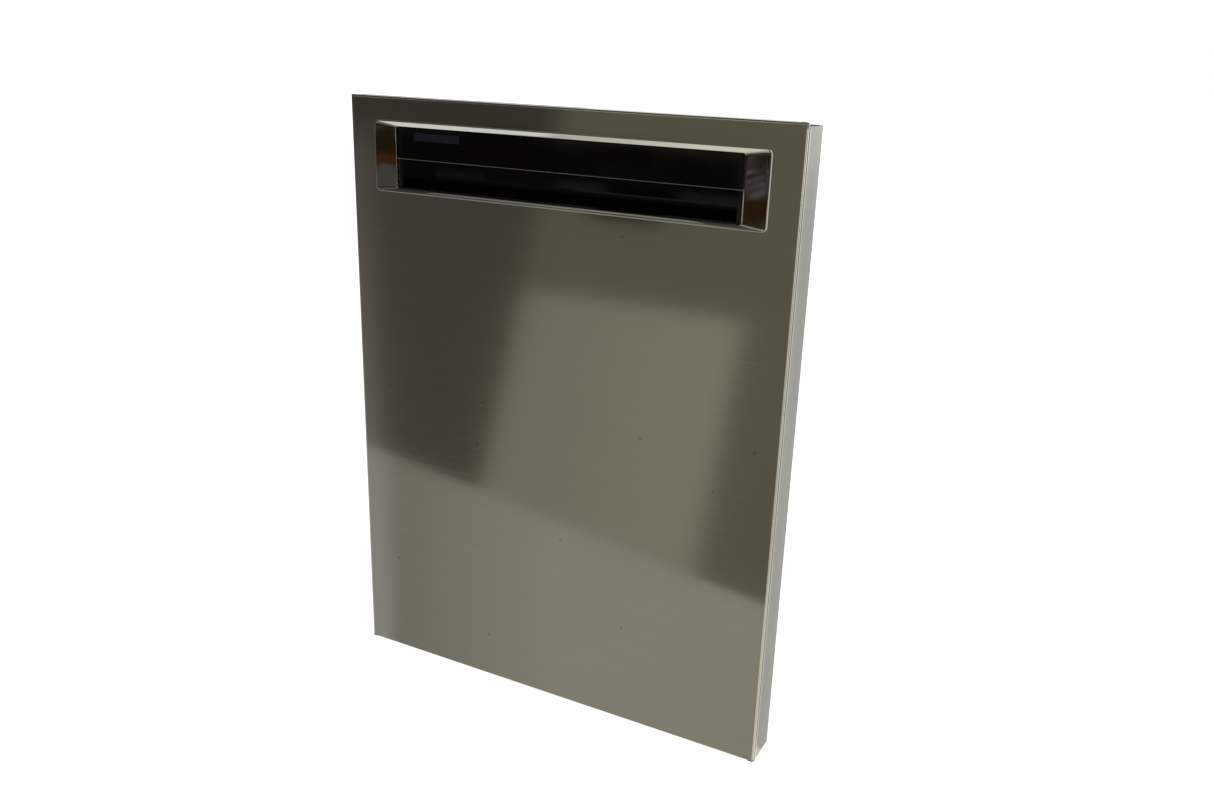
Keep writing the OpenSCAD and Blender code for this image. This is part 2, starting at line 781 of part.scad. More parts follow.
module control_console() {
    inside_z = [console_z[0] - 1, console_z[1] - console_top_t];
    color("#1a1a1c") in_door() difference() {
        union() {
            level_plate(console_x, [9, console_y[1]], [inside_z[1], console_z[1]], 2);
            block(console_x, console_y, [console_z[0], inside_z[1] + 0.1]);
        }
        block(grow(console_x, -2.3), [console_y[0] + 2, console_y[1] - 2], inside_z);
        for (x = button_places) {
            level_plate([x - button_w / 2 - play, x + button_w / 2 + play],
                        [button_y - button_d / 2 - play, button_y + button_d / 2 + play],
                        grow(console_z, 1), 3);
            rod_z(light_r + 0.1, x, light_y, grow(console_z, 1));
        }
        holes(console_screw_places, screw_r + 0.1, [47, 53]);
    }
}

module console_screws() {
    color("#b7b7b4") in_door()
        for (place = console_screw_places) screw(place, rim_y[1], door_d - 7.5);
}

module control_board() {
    color("#1f6b45") in_door() {
        block([-250, 250], [21, 46], board_z);
        for (x = button_places)
            block([x - 3, x + 3], [button_y - 3, button_y + 3], [board_z[1] - 0.1, board_z[1] + 3]);
        block([-246, -228], [23, 44], [board_z[0] - 5, board_z[0] + 0.1]);
        block([-40, -12], [24, 40], [board_z[1] - 0.1, board_z[1] + 5]);
    }
}

module board_cover() {
    color("#26272a") in_door() {
        level_plate([-290, 290], [17.5, 48], [console_z[0] - 2.4, console_z[0] - 0.2], 3);
        for (x = [-220, -120, 0, 120, 220])
            rod_z(3, x, 25, [console_z[0] - 0.3, board_z[0]]);
    }
}

module indicator_lights() {
    color("#dfe8ee") in_door()
        for (x = button_places) rod_z(light_r, x, light_y, [board_z[1] + 0.2, console_z[1]]);
}

// A cap that stands 1.2 mm above the console, held under it by a wider foot
module push_button(x) {
    inside_z = console_z[1] - console_top_t;
    color("#2a2b2e") in_door() {
        level_plate([x - button_w / 2, x + button_w / 2],
                    [button_y - button_d / 2, button_y + button_d / 2],
                    [inside_z - 1.2, console_z[1] + 1.2], 2.7);
        level_plate([x - button_w / 2 - 2, x + button_w / 2 + 2],
                    [button_y - button_d / 2 - 2, button_y + button_d / 2 + 2],
                    [inside_z - 2.4, inside_z - 0.2], 3);
        rod_z(2, x, button_y, [board_z[1] + 3 + button_travel + 0.2, inside_z - 2.3]);
    }
}

module power_button() {
    push_button(button_places[0]);
}

module cycle_button() {
    push_button(button_places[1]);
}

module options_button() {
    push_button(button_places[2]);
}

module dry_button() {
    push_button(button_places[3]);
}

module delay_button() {
    push_button(button_places[4]);
}

module start_button() {
    push_button(button_places[5]);
}

module wiring_loom() {
    color("#202124") in_door() {
        tube(loom_route, loom_r);
        tube(dispenser_lead_route, lead_r, 8);
        tube(vent_lead_route, lead_r, 8);
    }
}

module loom_clips() {
    color("#e8e8e4") in_door()
        for (z = [180, 400, 600]) difference() {
            union() {
                rod_z(6.4, -274, 40, [z - 6, z + 6]);
                block([-half_w + 1.4, -278], [38, 42], [z - 6, z + 6]);
            }
            rod_z(loom_r + 0.3, -274, 40, [z - 7, z + 7]);
        }
}

module loom_grommet() {
    color("#3b3c3e") in_door() difference() {
        union() {
            rod_z(8, grommet_x, grommet_y, [1, 3]);
            rod_z(10.5, grommet_x, grommet_y, [2.3, 5]);
        }
        rod_z(loom_r + 0.4, grommet_x, grommet_y, [0, 6]);
    }
}

outer_panel();
side_channel_left();
side_channel_right();
bottom_rail();
damping_sheet();
insulation_blanket();
handle_bezel();
handle_fascia();
display_window();
display_board();
display_housing();
handle_cup();
handle_gasket();
handle_nuts();
inner_panel();
inner_panel_screws();
lower_seal();
seal_retainer();
hinge_arm_left();
hinge_arm_right();
hinge_bush_left();
hinge_bush_right();
hinge_screws();
dispenser_body();
dispenser_gasket();
dispenser_lid();
lid_gasket();
lid_pin();
lid_spring();
lid_button();
rinse_cap();
rinse_window();
dispenser_actuator();
vent_housing();
vent_gasket();
vent_grille();
vent_valve();
vent_motor();
vent_duct();
latch_housing();
latch_hook();
latch_pin();
latch_spring();
door_switch();
switch_plunger();
control_console();
console_screws();
control_board();
board_cover();
indicator_lights();
power_button();
cycle_button();
options_button();
dry_button();
delay_button();
start_button();
wiring_loom();
loom_clips();
loom_grommet();
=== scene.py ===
"""Looks for the built-in dishwasher door: finishes, detail pieces, soft studio light and the camera."""

import enum
import json
import logging
import math
from dataclasses import dataclass, field

import bmesh
import bpy
import numpy as np
from mathutils import Matrix, Vector


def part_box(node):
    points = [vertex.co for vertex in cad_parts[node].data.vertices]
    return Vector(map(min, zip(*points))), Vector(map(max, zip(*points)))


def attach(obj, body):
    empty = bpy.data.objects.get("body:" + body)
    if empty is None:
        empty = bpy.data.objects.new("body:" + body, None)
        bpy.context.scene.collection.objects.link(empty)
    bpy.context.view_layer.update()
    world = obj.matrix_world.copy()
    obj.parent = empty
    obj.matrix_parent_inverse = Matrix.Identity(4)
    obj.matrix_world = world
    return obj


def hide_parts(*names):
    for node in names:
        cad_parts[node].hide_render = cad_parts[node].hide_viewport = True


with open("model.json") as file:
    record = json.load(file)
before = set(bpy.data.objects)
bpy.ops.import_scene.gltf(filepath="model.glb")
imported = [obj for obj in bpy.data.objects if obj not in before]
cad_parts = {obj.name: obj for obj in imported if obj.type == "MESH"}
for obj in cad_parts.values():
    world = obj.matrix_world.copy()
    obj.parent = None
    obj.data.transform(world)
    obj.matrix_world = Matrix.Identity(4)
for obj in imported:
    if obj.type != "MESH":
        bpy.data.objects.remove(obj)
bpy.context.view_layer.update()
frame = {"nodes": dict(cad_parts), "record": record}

MM = 0.001
LOG = logging.getLogger("dishwasher_door")

Colour = tuple[float, float, float]
Corner = tuple[float, float, float]
Socket = bpy.types.NodeSocket
Arrays = tuple[np.ndarray, np.ndarray]


class Grain(enum.Enum):
    """Direction in which a sheet was brushed."""

    ACROSS = "x"
    UPRIGHT = "z"


# Shader building


class ShaderGraph:
    """A material under construction, with one Principled shader and Object coordinates."""

    def __init__(self, name: str) -> None:
        """Starts an empty material.

        Args:
            name: The material's name.
        """
        self.material = bpy.data.materials.new(name)
        self.material.use_nodes = True
        self.tree = self.material.node_tree
        self.tree.nodes.clear()
        output = self.tree.nodes.new("ShaderNodeOutputMaterial")
        self.bsdf = self.tree.nodes.new("ShaderNodeBsdfPrincipled")
        self.tree.links.new(self.bsdf.outputs["BSDF"], output.inputs["Surface"])
        self.coords = self.tree.nodes.new("ShaderNodeTexCoord").outputs["Object"]

    def link(self, source: Socket, target: Socket) -> None:
        """Joins two sockets."""
        self.tree.links.new(source, target)

    def drive(self, name: str, source: Socket) -> None:
        """Feeds one of the shader's own sockets."""
        self.link(source, self.bsdf.inputs[name])

    def set(self, **values: float | Colour) -> None:
        """Sets constants on the shader's own sockets.

        Args:
            values: Socket names in lower case with underscores, and their values.
        """
        for key, value in values.items():
            socket = self.bsdf.inputs[key.replace("_", " ").title().replace("Ior", "IOR")]
            socket.default_value = (*value, 1.0) if isinstance(value, tuple) else value

    def stretched(self, scale: Corner) -> Socket:
        """Object coordinates scaled along each axis.

        Args:
            scale: Factor along X, Y and Z.

        Returns:
            The scaled coordinates.
        """
        mapping = self.tree.nodes.new("ShaderNodeMapping")
        mapping.inputs["Scale"].default_value = scale
        self.link(self.coords, mapping.inputs["Vector"])
        return mapping.outputs["Vector"]

    def noise(self, scale: Corner, detail: float = 3.0, rough: float = 0.5) -> Socket:
        """Fractal noise with its own scale along each axis.

        Args:
            scale: Cycles per metre along X, Y and Z.
            detail: Octaves.
            rough: How strong the fine octaves are.

        Returns:
            Noise between 0 and 1.
        """
        node = self.tree.nodes.new("ShaderNodeTexNoise")
        node.inputs["Scale"].default_value = 1.0
        node.inputs["Detail"].default_value = detail
        node.inputs["Roughness"].default_value = rough
        self.link(self.stretched(scale), node.inputs["Vector"])
        return node.outputs["Fac"]

    def cells(self, scale: float, upright: bool = False) -> Socket:
        """Distance to the nearest of many scattered points, for grainy surfaces.

        Args:
            scale: Cells per metre.
            upright: Whether the points lie in the XZ plane only.

        Returns:
            Distance in cells.
        """
        node = self.tree.nodes.new("ShaderNodeTexVoronoi")
        node.inputs["Scale"].default_value = 1.0
        vector = self.stretched((scale, scale, scale))
        if upright:
            node.voronoi_dimensions = "2D"
            vector.node.inputs["Rotation"].default_value = (math.pi / 2, 0.0, 0.0)
        self.link(vector, node.inputs["Vector"])
        return node.outputs["Distance"]

    def span(self, value: Socket, low: float, high: float, start: float = 0.0, end: float = 1.0) -> Socket:
        """Maps a value that runs from start to end onto low to high.

        Args:
            value: The value.
            low: Result at start.
            high: Result at end.
            start: Where the ramp starts.
            end: Where the ramp ends.

        Returns:
            The mapped value, clamped.
        """
        node = self.tree.nodes.new("ShaderNodeMapRange")
        node.inputs["From Min"].default_value = start
        node.inputs["From Max"].default_value = end
        node.inputs["To Min"].default_value = low
        node.inputs["To Max"].default_value = high
        self.link(value, node.inputs["Value"])
        return node.outputs["Result"]

    def math(self, operation: str, a: Socket, b: Socket | float, c: float = 1.0) -> Socket:
        """One arithmetic step.

        Args:
            operation: Blender's name of the operation.
            a: First operand.
            b: Second operand.
            c: Third operand, for operations that have one.

        Returns:
            The result.
        """
        node = self.tree.nodes.new("ShaderNodeMath")
        node.operation = operation
        self.link(a, node.inputs[0])
        if isinstance(b, bpy.types.NodeSocket):
            self.link(b, node.inputs[1])
        else:
            node.inputs[1].default_value = b
        node.inputs[2].default_value = c
        return node.outputs["Value"]

    def blend(self, factor: Socket, a: Colour | Socket, b: Colour | Socket) -> Socket:
        """Mixes two colours.

        Args:
            factor: 0 for a, 1 for b.
            a: First colour.
            b: Second colour.

        Returns:
            The mixed colour.
        """
        node = self.tree.nodes.new("ShaderNodeMix")
        node.data_type = "RGBA"
        self.link(factor, node.inputs["Factor"])
        for socket, colour in ((node.inputs[6], a), (node.inputs[7], b)):
            if isinstance(colour, bpy.types.NodeSocket):
                self.link(colour, socket)
            else:
                socket.default_value = (*colour, 1.0)
        return node.outputs[2]

    def bump(self, height: Socket, depth: float) -> None:
        """Raises the surface by a height pattern.

        Args:
            height: The pattern, 0 to 1.
            depth: Height of the pattern in metres.
        """
        node = self.tree.nodes.new("ShaderNodeBump")
        node.inputs["Distance"].default_value = depth
        node.inputs["Strength"].default_value = 1.0
        self.link(height, node.inputs["Height"])
        self.drive("Normal", node.outputs["Normal"])


def tone(colour: Colour, factor: float) -> Colour:
    """A colour made lighter or darker by a factor."""
    return (colour[0] * factor, colour[1] * factor, colour[2] * factor)


# Finishes


@dataclass(frozen=True)
class Finish:
    """A finish: its name, its main colour, and a pattern that each kind of finish adds."""

    name: str
    colour: Colour

    def build(self) -> bpy.types.Material:
        """Builds the material."""
        graph = ShaderGraph(self.name)
        self.work(graph)
        return graph.material

    def work(self, graph: ShaderGraph) -> None:
        """Adds the pattern to an empty material."""
        raise NotImplementedError

    def shade(self, graph: ShaderGraph, pattern: Socket, dark: float, light: float) -> None:
        """Lets the base colour run between two tones of the main colour.

        Args:
            graph: The material.
            pattern: 0 for the dark tone, 1 for the light one.
            dark: Factor of the dark tone.
            light: Factor of the light tone.
        """
        graph.drive("Base Color", graph.blend(pattern, tone(self.colour, dark), tone(self.colour, light)))


@dataclass(frozen=True)
class BrushedSteel(Finish):
    """Sheet steel brushed in one direction.

    Long fine scratches are noise drawn out along the grain: they change the colour a little,
    the roughness more, and raise the surface by a few microns. Broad, faint clouds are handling.
    """

    grain: Grain = Grain.ACROSS
    roughness: float = 0.18
    anisotropy: float = 0.5
    scratch_depth: float = 0.000004
    contrast: float = 0.05
    mottle: float = 0.0
    specks: bool = False

    def work(self, graph: ShaderGraph) -> None:
        """Adds scratches and clouds and, where the finish has them, blotches and specks."""
        fine, long = 2600.0, 14.0
        scale = (fine, fine, long) if self.grain is Grain.UPRIGHT else (long, fine, fine)
        scratches = graph.noise(scale, detail=4.0, rough=0.65)
        coarse = graph.noise(tuple(value * 0.22 for value in scale))
        clouds = graph.noise((5.0, 5.0, 3.5))
        grain = graph.math("ADD", graph.math("MULTIPLY", scratches, 0.65),
                           graph.math("MULTIPLY", coarse, 0.35))
        streaked = graph.blend(graph.span(grain, 0.0, 1.0, 0.3, 0.7), tone(self.colour, 1.0 - self.contrast),
                               tone(self.colour, 1.0 + self.contrast))
        worn = graph.blend(graph.span(clouds, 0.0, 0.5, 0.45, 0.75), streaked, tone(self.colour, 0.97))
        if self.mottle:
            blotches = graph.noise((220.0, 220.0, 70.0), detail=4.0, rough=0.7)
            blotches = graph.span(blotches, 0.0, 0.8, 0.4, 0.65)
            worn = graph.blend(blotches, worn, tone(self.colour, 1.0 + self.mottle))
        if self.specks:
            spots = graph.span(graph.cells(5.5, True), 0.4, 0.0, 0.006, 0.015)
            worn = graph.blend(spots, worn, tone(self.colour, 0.35))
        graph.drive("Base Color", worn)
        rough = graph.span(grain, self.roughness * 0.85, self.roughness * 1.2, 0.3, 0.7)
        graph.drive("Roughness", graph.math("ADD", rough, graph.span(clouds, -0.012, 0.012, 0.3, 0.7)))
        graph.set(metallic=1.0, anisotropic=self.anisotropy)
        tangent = graph.tree.nodes.new("ShaderNodeTangent")
        tangent.direction_type = "RADIAL"
        tangent.axis = "X" if self.grain is Grain.UPRIGHT else "Z"
        graph.drive("Tangent", tangent.outputs["Tangent"])
        graph.bump(grain, self.scratch_depth)


@dataclass(frozen=True)
class ZincPlate(Finish):
    """Dull zinc plating with a faint spangle, on stamped brackets."""

    def work(self, graph: ShaderGraph) -> None:
        """Adds the spangle and a haze."""
        haze = graph.noise((30.0, 30.0, 30.0), detail=4.0)
        self.shade(graph, graph.span(graph.cells(260.0), 0.0, 1.0, 0.1, 0.8), 0.9, 1.08)
        graph.drive("Roughness", graph.span(haze, 0.3, 0.46, 0.3, 0.7))
        graph.set(metallic=1.0)
        graph.bump(haze, 0.00003)


@dataclass(frozen=True)
class ChromePlate(Finish):
    """Mirror-bright plating on a moulding, with a trace of haze and slight waviness."""

    def work(self, graph: ShaderGraph) -> None:
        """Adds the haze and the waves."""
        haze = graph.noise((60.0, 60.0, 60.0))
        self.shade(graph, haze, 0.97, 1.0)
        graph.drive("Roughness", graph.span(haze, 0.025, 0.055, 0.3, 0.7))
        graph.set(metallic=1.0)
        graph.bump(graph.noise((26.0, 26.0, 40.0), detail=1.0), 0.00004)


@dataclass(frozen=True)
class Plastic(Finish):
    """Moulded plastic. The grain is a fine cell pattern, the flow marks are broad soft noise."""

    roughness: float = 0.4
    grain_scale: float = 1400.0
    grain_depth: float = 0.00001
    specular: float = 0.5

    def work(self, graph: ShaderGraph) -> None:
        """Adds the flow marks and the grain."""
        flow = graph.noise((12.0, 12.0, 12.0))
        self.shade(graph, flow, 0.93, 1.06)
        graph.drive("Roughness", graph.span(flow, self.roughness * 0.85, self.roughness * 1.15, 0.3, 0.7))
        graph.set(specular_ior_level=self.specular)
        graph.bump(graph.cells(self.grain_scale), self.grain_depth)


@dataclass(frozen=True)
class PolishedBlack(Finish):
    """Deep polished black moulding with faint dust and wiping marks in its gloss."""

    roughness: float = 0.06

    def work(self, graph: ShaderGraph) -> None:
        """Adds the dust and the wiping marks."""
        wipes = graph.noise((40.0, 40.0, 9.0), detail=5.0, rough=0.6)
        self.shade(graph, graph.span(graph.cells(420.0), 1.0, 0.0, 0.02, 0.07), 1.0, 3.0)
        graph.drive("Roughness", graph.span(wipes, self.roughness * 0.6, self.roughness * 1.6, 0.3, 0.7))
        graph.set(specular_ior_level=0.4)


@dataclass(frozen=True)
class TintedLens(Finish):
    """Smoke-tinted or frosted lens over a display or a lamp."""

    roughness: float = 0.08
    transmission: float = 0.0

    def work(self, graph: ShaderGraph) -> None:
        """Adds a faint cloud."""
        cloud = graph.noise((90.0, 90.0, 90.0), detail=2.0)
        self.shade(graph, cloud, 0.9, 1.1)
        graph.drive("Roughness", graph.span(cloud, self.roughness * 0.8, self.roughness * 1.2))
        graph.set(transmission_weight=self.transmission, ior=1.49)


@dataclass(frozen=True)
class Rubber(Finish):
    """Moulded rubber or foam: dull, with a fine bloom."""

    roughness: float = 0.72
    pores: float = 900.0
    pore_depth: float = 0.00004

    def work(self, graph: ShaderGraph) -> None:
        """Adds the bloom and the pores."""
        bloom = graph.noise((70.0, 70.0, 70.0), detail=5.0, rough=0.6)
        self.shade(graph, graph.span(bloom, 0.0, 1.0, 0.35, 0.8), 1.0, 1.8)
        graph.drive("Roughness", graph.span(bloom, self.roughness - 0.08, self.roughness + 0.1))
        graph.set(sheen_weight=0.15)
        graph.bump(graph.cells(self.pores), self.pore_depth)


@dataclass(frozen=True)
class Felt(Finish):
    """Needled fibre: two noises drawn out along different axes cross like matted threads."""

    def work(self, graph: ShaderGraph) -> None:
        """Adds the crossing threads."""
        threads = graph.noise((900.0, 900.0, 60.0), detail=4.0), graph.noise((60.0, 900.0, 900.0), detail=4.0)
        fibres = graph.math("MAXIMUM", *threads)
        self.shade(graph, graph.span(fibres, 0.0, 1.0, 0.4, 0.8), 0.6, 1.25)
        graph.set(roughness=0.95, sheen_weight=0.4)
        graph.bump(fibres, 0.0006)


@dataclass(frozen=True)
class Laminate(Finish):
    """Printed circuit board: solder mask over a faint glass weave."""

    def work(self, graph: ShaderGraph) -> None:
        """Adds the weave."""
        weave = graph.math("MULTIPLY", graph.noise((1200.0, 60.0, 60.0)), graph.noise((60.0, 1200.0, 1200.0)))
        self.shade(graph, graph.span(weave, 0.0, 1.0, 0.1, 0.4), 0.7, 1.3)
        graph.set(roughness=0.32)
        graph.bump(weave, 0.00002)


@dataclass(frozen=True)
class Braid(Finish):
    """Taped cable sleeve: fine diagonal ribs made by a wave on the sum of two axes."""

    def work(self, graph: ShaderGraph) -> None:
        """Adds the ribs."""
        wave = graph.tree.nodes.new("ShaderNodeTexWave")
        wave.wave_type = "BANDS"
        wave.bands_direction = "DIAGONAL"
        wave.inputs["Scale"].default_value = 140.0
        wave.inputs["Distortion"].default_value = 1.5
        graph.link(graph.coords, wave.inputs["Vector"])
        self.shade(graph, wave.outputs["Fac"], 0.6, 1.6)
        graph.set(roughness=0.6)
        graph.bump(wave.outputs["Fac"], 0.0002)


FINISHES = {finish.name: finish for finish in (
    BrushedSteel("face_steel", (0.36, 0.35, 0.325), Grain.ACROSS, 0.105, 0.4, 0.0000012, 0.06, specks=True),
    BrushedSteel("side_steel", (0.45, 0.45, 0.43), Grain.UPRIGHT, 0.30, 0.4, mottle=0.12),
    BrushedSteel("liner_steel", (0.56, 0.56, 0.55), Grain.UPRIGHT, 0.24, 0.5),
    # bends and hems: a lighter copy of the side steel, a painted highlight
    BrushedSteel("painted_highlight_steel", (0.82, 0.81, 0.75), Grain.UPRIGHT, 0.16, 0.3, 0.0000006, 0.06),
    # the seam: a dark copy of the side steel, a painted shadow in the gap between bend and hem
    BrushedSteel("painted_shadow_seam", (0.14, 0.137, 0.12), Grain.UPRIGHT, 0.35, 0.3),
    ZincPlate("zinc_steel", (0.55, 0.56, 0.55)),
    ZincPlate("screw_steel", (0.66, 0.66, 0.65)),
    ZincPlate("brass_case", (0.62, 0.48, 0.24)),
    ChromePlate("chrome_trim", (0.95, 0.95, 0.93)),
    PolishedBlack("black_gloss", (0.0012, 0.0012, 0.0011)),
    Plastic("console_black", (0.028, 0.028, 0.03), 0.42, 1500.0, 0.000012),
    Plastic("black_plastic", (0.0055, 0.0055, 0.0056), 0.36, specular=0.13),
    Plastic("button_plastic", (0.055, 0.056, 0.06), 0.28, 2200.0, 0.000004),
    Plastic("grey_plastic", (0.50, 0.505, 0.50), 0.26, 1800.0, 0.000006),
    Plastic("blue_plastic", (0.09, 0.21, 0.36), 0.3, 1800.0, 0.000006),
    Plastic("red_plastic", (0.42, 0.045, 0.03), 0.35),
    Plastic("nylon", (0.62, 0.62, 0.585), 0.4, 900.0, 0.00001),
    TintedLens("tinted_lens", (0.006, 0.0068, 0.010), 0.12),
    TintedLens("clear_lens", (0.66, 0.72, 0.76), 0.25, 0.6),
    Rubber("seal_rubber", (0.035, 0.035, 0.037)),
    Rubber("bitumen", (0.02, 0.019, 0.018), 0.85, 300.0, 0.0003),
    Braid("loom_sleeve", (0.025, 0.025, 0.027)),
    Felt("felt", (0.46, 0.40, 0.29)),
    Laminate("circuit_board", (0.015, 0.13, 0.06)),
)}


class Paintbox:
    """Builds each finish once and hands it out by its name."""

    def __init__(self) -> None:
        """Starts empty."""
        self.made: dict[str, bpy.types.Material] = {}

    def get(self, name: str) -> bpy.types.Material:
        """The material of a finish, built at the first call.

        Args:
            name: The finish's name, which for most is the record's slot.

        Returns:
            Its material.
        """
        if name not in self.made:
            self.made[name] = FINISHES[name].build()
        return self.made[name]

    def dress(self, node: str) -> None:
        """Gives a CAD node the finish that the record names for it."""
        mesh = frame["nodes"][node].data
        mesh.materials.clear()
        mesh.materials.append(self.get(SLOT_OF[node]))


def soften(node: str, width: float, segments: int = 2) -> None:
    """Rounds a CAD node's sharp edges without touching its mesh.

    Args:
        node: The CAD node.
        width: Width of the rounding in metres.
        segments: Steps in the rounding.
    """
    obj = frame["nodes"][node]
    weld = obj.modifiers.new("weld", "WELD")
    weld.merge_threshold = 0.00001
    bevel = obj.modifiers.new("soften", "BEVEL")
    bevel.width = width
    bevel.segments = segments
    bevel.limit_method = "ANGLE"
    bevel.angle_limit = math.radians(40.0)


SLOT_OF = {entry["node"]: entry["material_slot"] for entry in frame["record"]["subparts"]}


# Mesh building


def grid_faces(rows: int, columns: int, close_rows: bool, close_columns: bool) -> np.ndarray:
    """Quads of a grid of points numbered row by row.

    Args:
        rows: Number of rows.
        columns: Points in each row.
        close_rows: Whether the last row joins the first.
        close_columns: Whether each row closes on itself.

    Returns:
        An array of point numbers, four to a face.
    """
    row = np.arange(rows if close_rows else rows - 1)
    column = np.arange(columns if close_columns else columns - 1)
    r, c = np.meshgrid(row, column, indexing="ij")
    here, after, beside = r * columns, (r + 1) % rows * columns, (c + 1) % columns
    return np.stack([here + c, here + beside, after + beside, after + c], -1).reshape(-1, 4)


def make_mesh(name: str, points: np.ndarray, faces: np.ndarray, smooth: bool = True) -> bpy.types.Object:
    """Turns points and quads into an object at the origin.

    Points of a row that shrinks to one place are merged, and the faces are turned outwards. The
    merging distance is too small for single precision 0.3 m or more from the origin, so pieces
    that end there keep zero-area faces at their ends.

    Args:
        name: The piece's name.
        points: Positions in metres, three to a row.
        faces: Point numbers, four to a row.
        smooth: Whether faces are shaded smooth.

    Returns:
        The new object.
    """
    mesh = bpy.data.meshes.new(name)
    mesh.from_pydata(points.reshape(-1, 3).tolist(), [], faces.tolist())
    shell = bmesh.new()
    shell.from_mesh(mesh)
    bmesh.ops.remove_doubles(shell, verts=shell.verts, dist=0.00001 * MM)
    bmesh.ops.recalc_face_normals(shell, faces=shell.faces)
    shell.to_mesh(mesh)
    shell.free()
    mesh.update()
    mesh.polygons.foreach_set("use_smooth", np.full(len(mesh.polygons), smooth))
    obj = bpy.data.objects.new(name, mesh)
    bpy.context.scene.collection.objects.link(obj)
    return obj


def end_rows(span: tuple[float, float]) -> Arrays:
    """Where a drawn piece has its rows: a point, the full outline twice, and the same at the far end.

    Args:
        span: Where the piece starts and ends.

    Returns:
        Places along the piece and the outline's size at each, as columns.
    """
    start, end = span
    along = np.array([start, start, start + 0.3 * MM, end - 0.3 * MM, end, end])
    return along[:, None], np.array([0.0, 1.0, 1.0, 1.0, 1.0, 0.0])[:, None]


def rounded_loop(half_w: float, half_h: float, radius: float, corner_steps: int = 8,
                 side_steps: int = 6) -> np.ndarray:
    """Points around a rectangle with round corners, anticlockwise from the lower right.

    Each corner is an arc of the given radius about a centre set in by the radius, and the sides
    are straight runs of evenly spaced points between the arcs.

    Args:
        half_w: Half the width.
        half_h: Half the height.
        radius: Corner radius.
        corner_steps: Steps in each corner's arc.
        side_steps: Steps along each side.

    Returns:
        Points in the plane, two to a row.
    """
    signs = np.array([[1, -1], [1, 1], [-1, 1], [-1, -1]])
    starts = np.radians([-90.0, 0.0, 90.0, 180.0])
    turn = np.linspace(0.0, np.pi / 2, corner_steps + 1)
    centres = signs * np.array([half_w - radius, half_h - radius])
    angle = starts[:, None] + turn[None, :]
    arcs = centres[:, None, :] + radius * np.stack([np.cos(angle), np.sin(angle)], -1)
    ends = arcs[:, -1, :]
    begins = np.roll(arcs[:, 0, :], -1, axis=0)
    mix = np.linspace(0.0, 1.0, side_steps + 1)[1:-1]
    sides = ends[:, None, :] * (1 - mix)[None, :, None] + begins[:, None, :] * mix[None, :, None]
    return np.concatenate([arcs, sides], axis=1).reshape(-1, 2)


def ribbon(path: np.ndarray, width: float, height: float, closed: bool = False) -> Arrays:
    """A raised line with a roof-shaped cross-section, lying in the XY plane.

    At each point of the path the section has four corners: two on the ground, half the width to
    either side, and two at the full height, a third of the width to either side. The side
    direction is the path's own direction turned by a right angle.

    Args:
        path: Points of the middle line, two to a row.
        width: Width at the ground.
        height: Height of the line.
        closed: Whether the path closes on itself.

    Returns:
        Points and quads.
    """
    ahead = np.roll(path, -1, 0) - np.roll(path, 1, 0) if closed else np.gradient(path, axis=0)
    ahead = ahead / np.linalg.norm(ahead, axis=1, keepdims=True)
    side = np.stack([ahead[:, 1], -ahead[:, 0]], -1)
    reach = np.array([0.5, 0.33, -0.33, -0.5]) * width
    level = np.array([0.0, 1.0, 1.0, 0.0]) * height
    flat = path[:, None, :] + side[:, None, :] * reach[None, :, None]
    points = np.concatenate([flat, np.broadcast_to(level[None, :, None], (*flat.shape[:2], 1))], -1)
    faces = grid_faces(len(path), 4, closed, True)
    if not closed:
        last = (len(path) - 1) * 4
        faces = np.concatenate([faces, [[3, 2, 1, 0]], [[last, last + 1, last + 2, last + 3]]])
    return points.reshape(-1, 3), faces


def joined(parts: list[Arrays]) -> Arrays:
    """Puts several meshes into one.

    Args:
        parts: Points and faces of each mesh.

    Returns:
        Points and faces of the whole.
    """
    starts = np.cumsum([0] + [len(points) for points, _ in parts[:-1]])
    points = np.concatenate([points for points, _ in parts])
    faces = np.concatenate([faces + start for (_, faces), start in zip(parts, starts)])
    return points, faces


def arc(radius: float, start: float, end: float, steps: int = 12) -> np.ndarray:
    """Points along a circle about the origin, angles in degrees."""
    turn = np.radians(np.linspace(start, end, steps))
    return radius * np.stack([np.cos(turn), np.sin(turn)], -1)


# Sub-assemblies


@dataclass
class SubAssembly:
    """A group of CAD nodes that share a class, and the pieces added to them."""

    paint: Paintbox
    nodes: tuple[str, ...] = ()
    rounded: dict[str, float] = field(default_factory=dict)

    def build(self) -> list[bpy.types.Object]:
        """Dresses the group's CAD nodes and rounds the edges of some.

        Returns:
            The pieces that were added.
        """
        for node in self.nodes:
            self.paint.dress(node)
        for node, width in self.rounded.items():
            soften(node, width * MM)
        return self.extras()

    def extras(self) -> list[bpy.types.Object]:
        """Pieces that only the looks need."""
        return []

    @property
    def face_y(self) -> float:
        """Where the door's face is."""
        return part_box("outer_panel")[0].y

    def finish_piece(self, piece: bpy.types.Object, slot: str, finish: str = "") -> bpy.types.Object:
        """Gives a new piece its finish and its body.

        Args:
            piece: The new piece.
            slot: The record's material slot.
            finish: The finish's name, where it isn't the slot's own.

        Returns:
            The same piece, riding on the door.
        """
        piece.data.materials.append(self.paint.get(finish or slot))
        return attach(piece, "door")


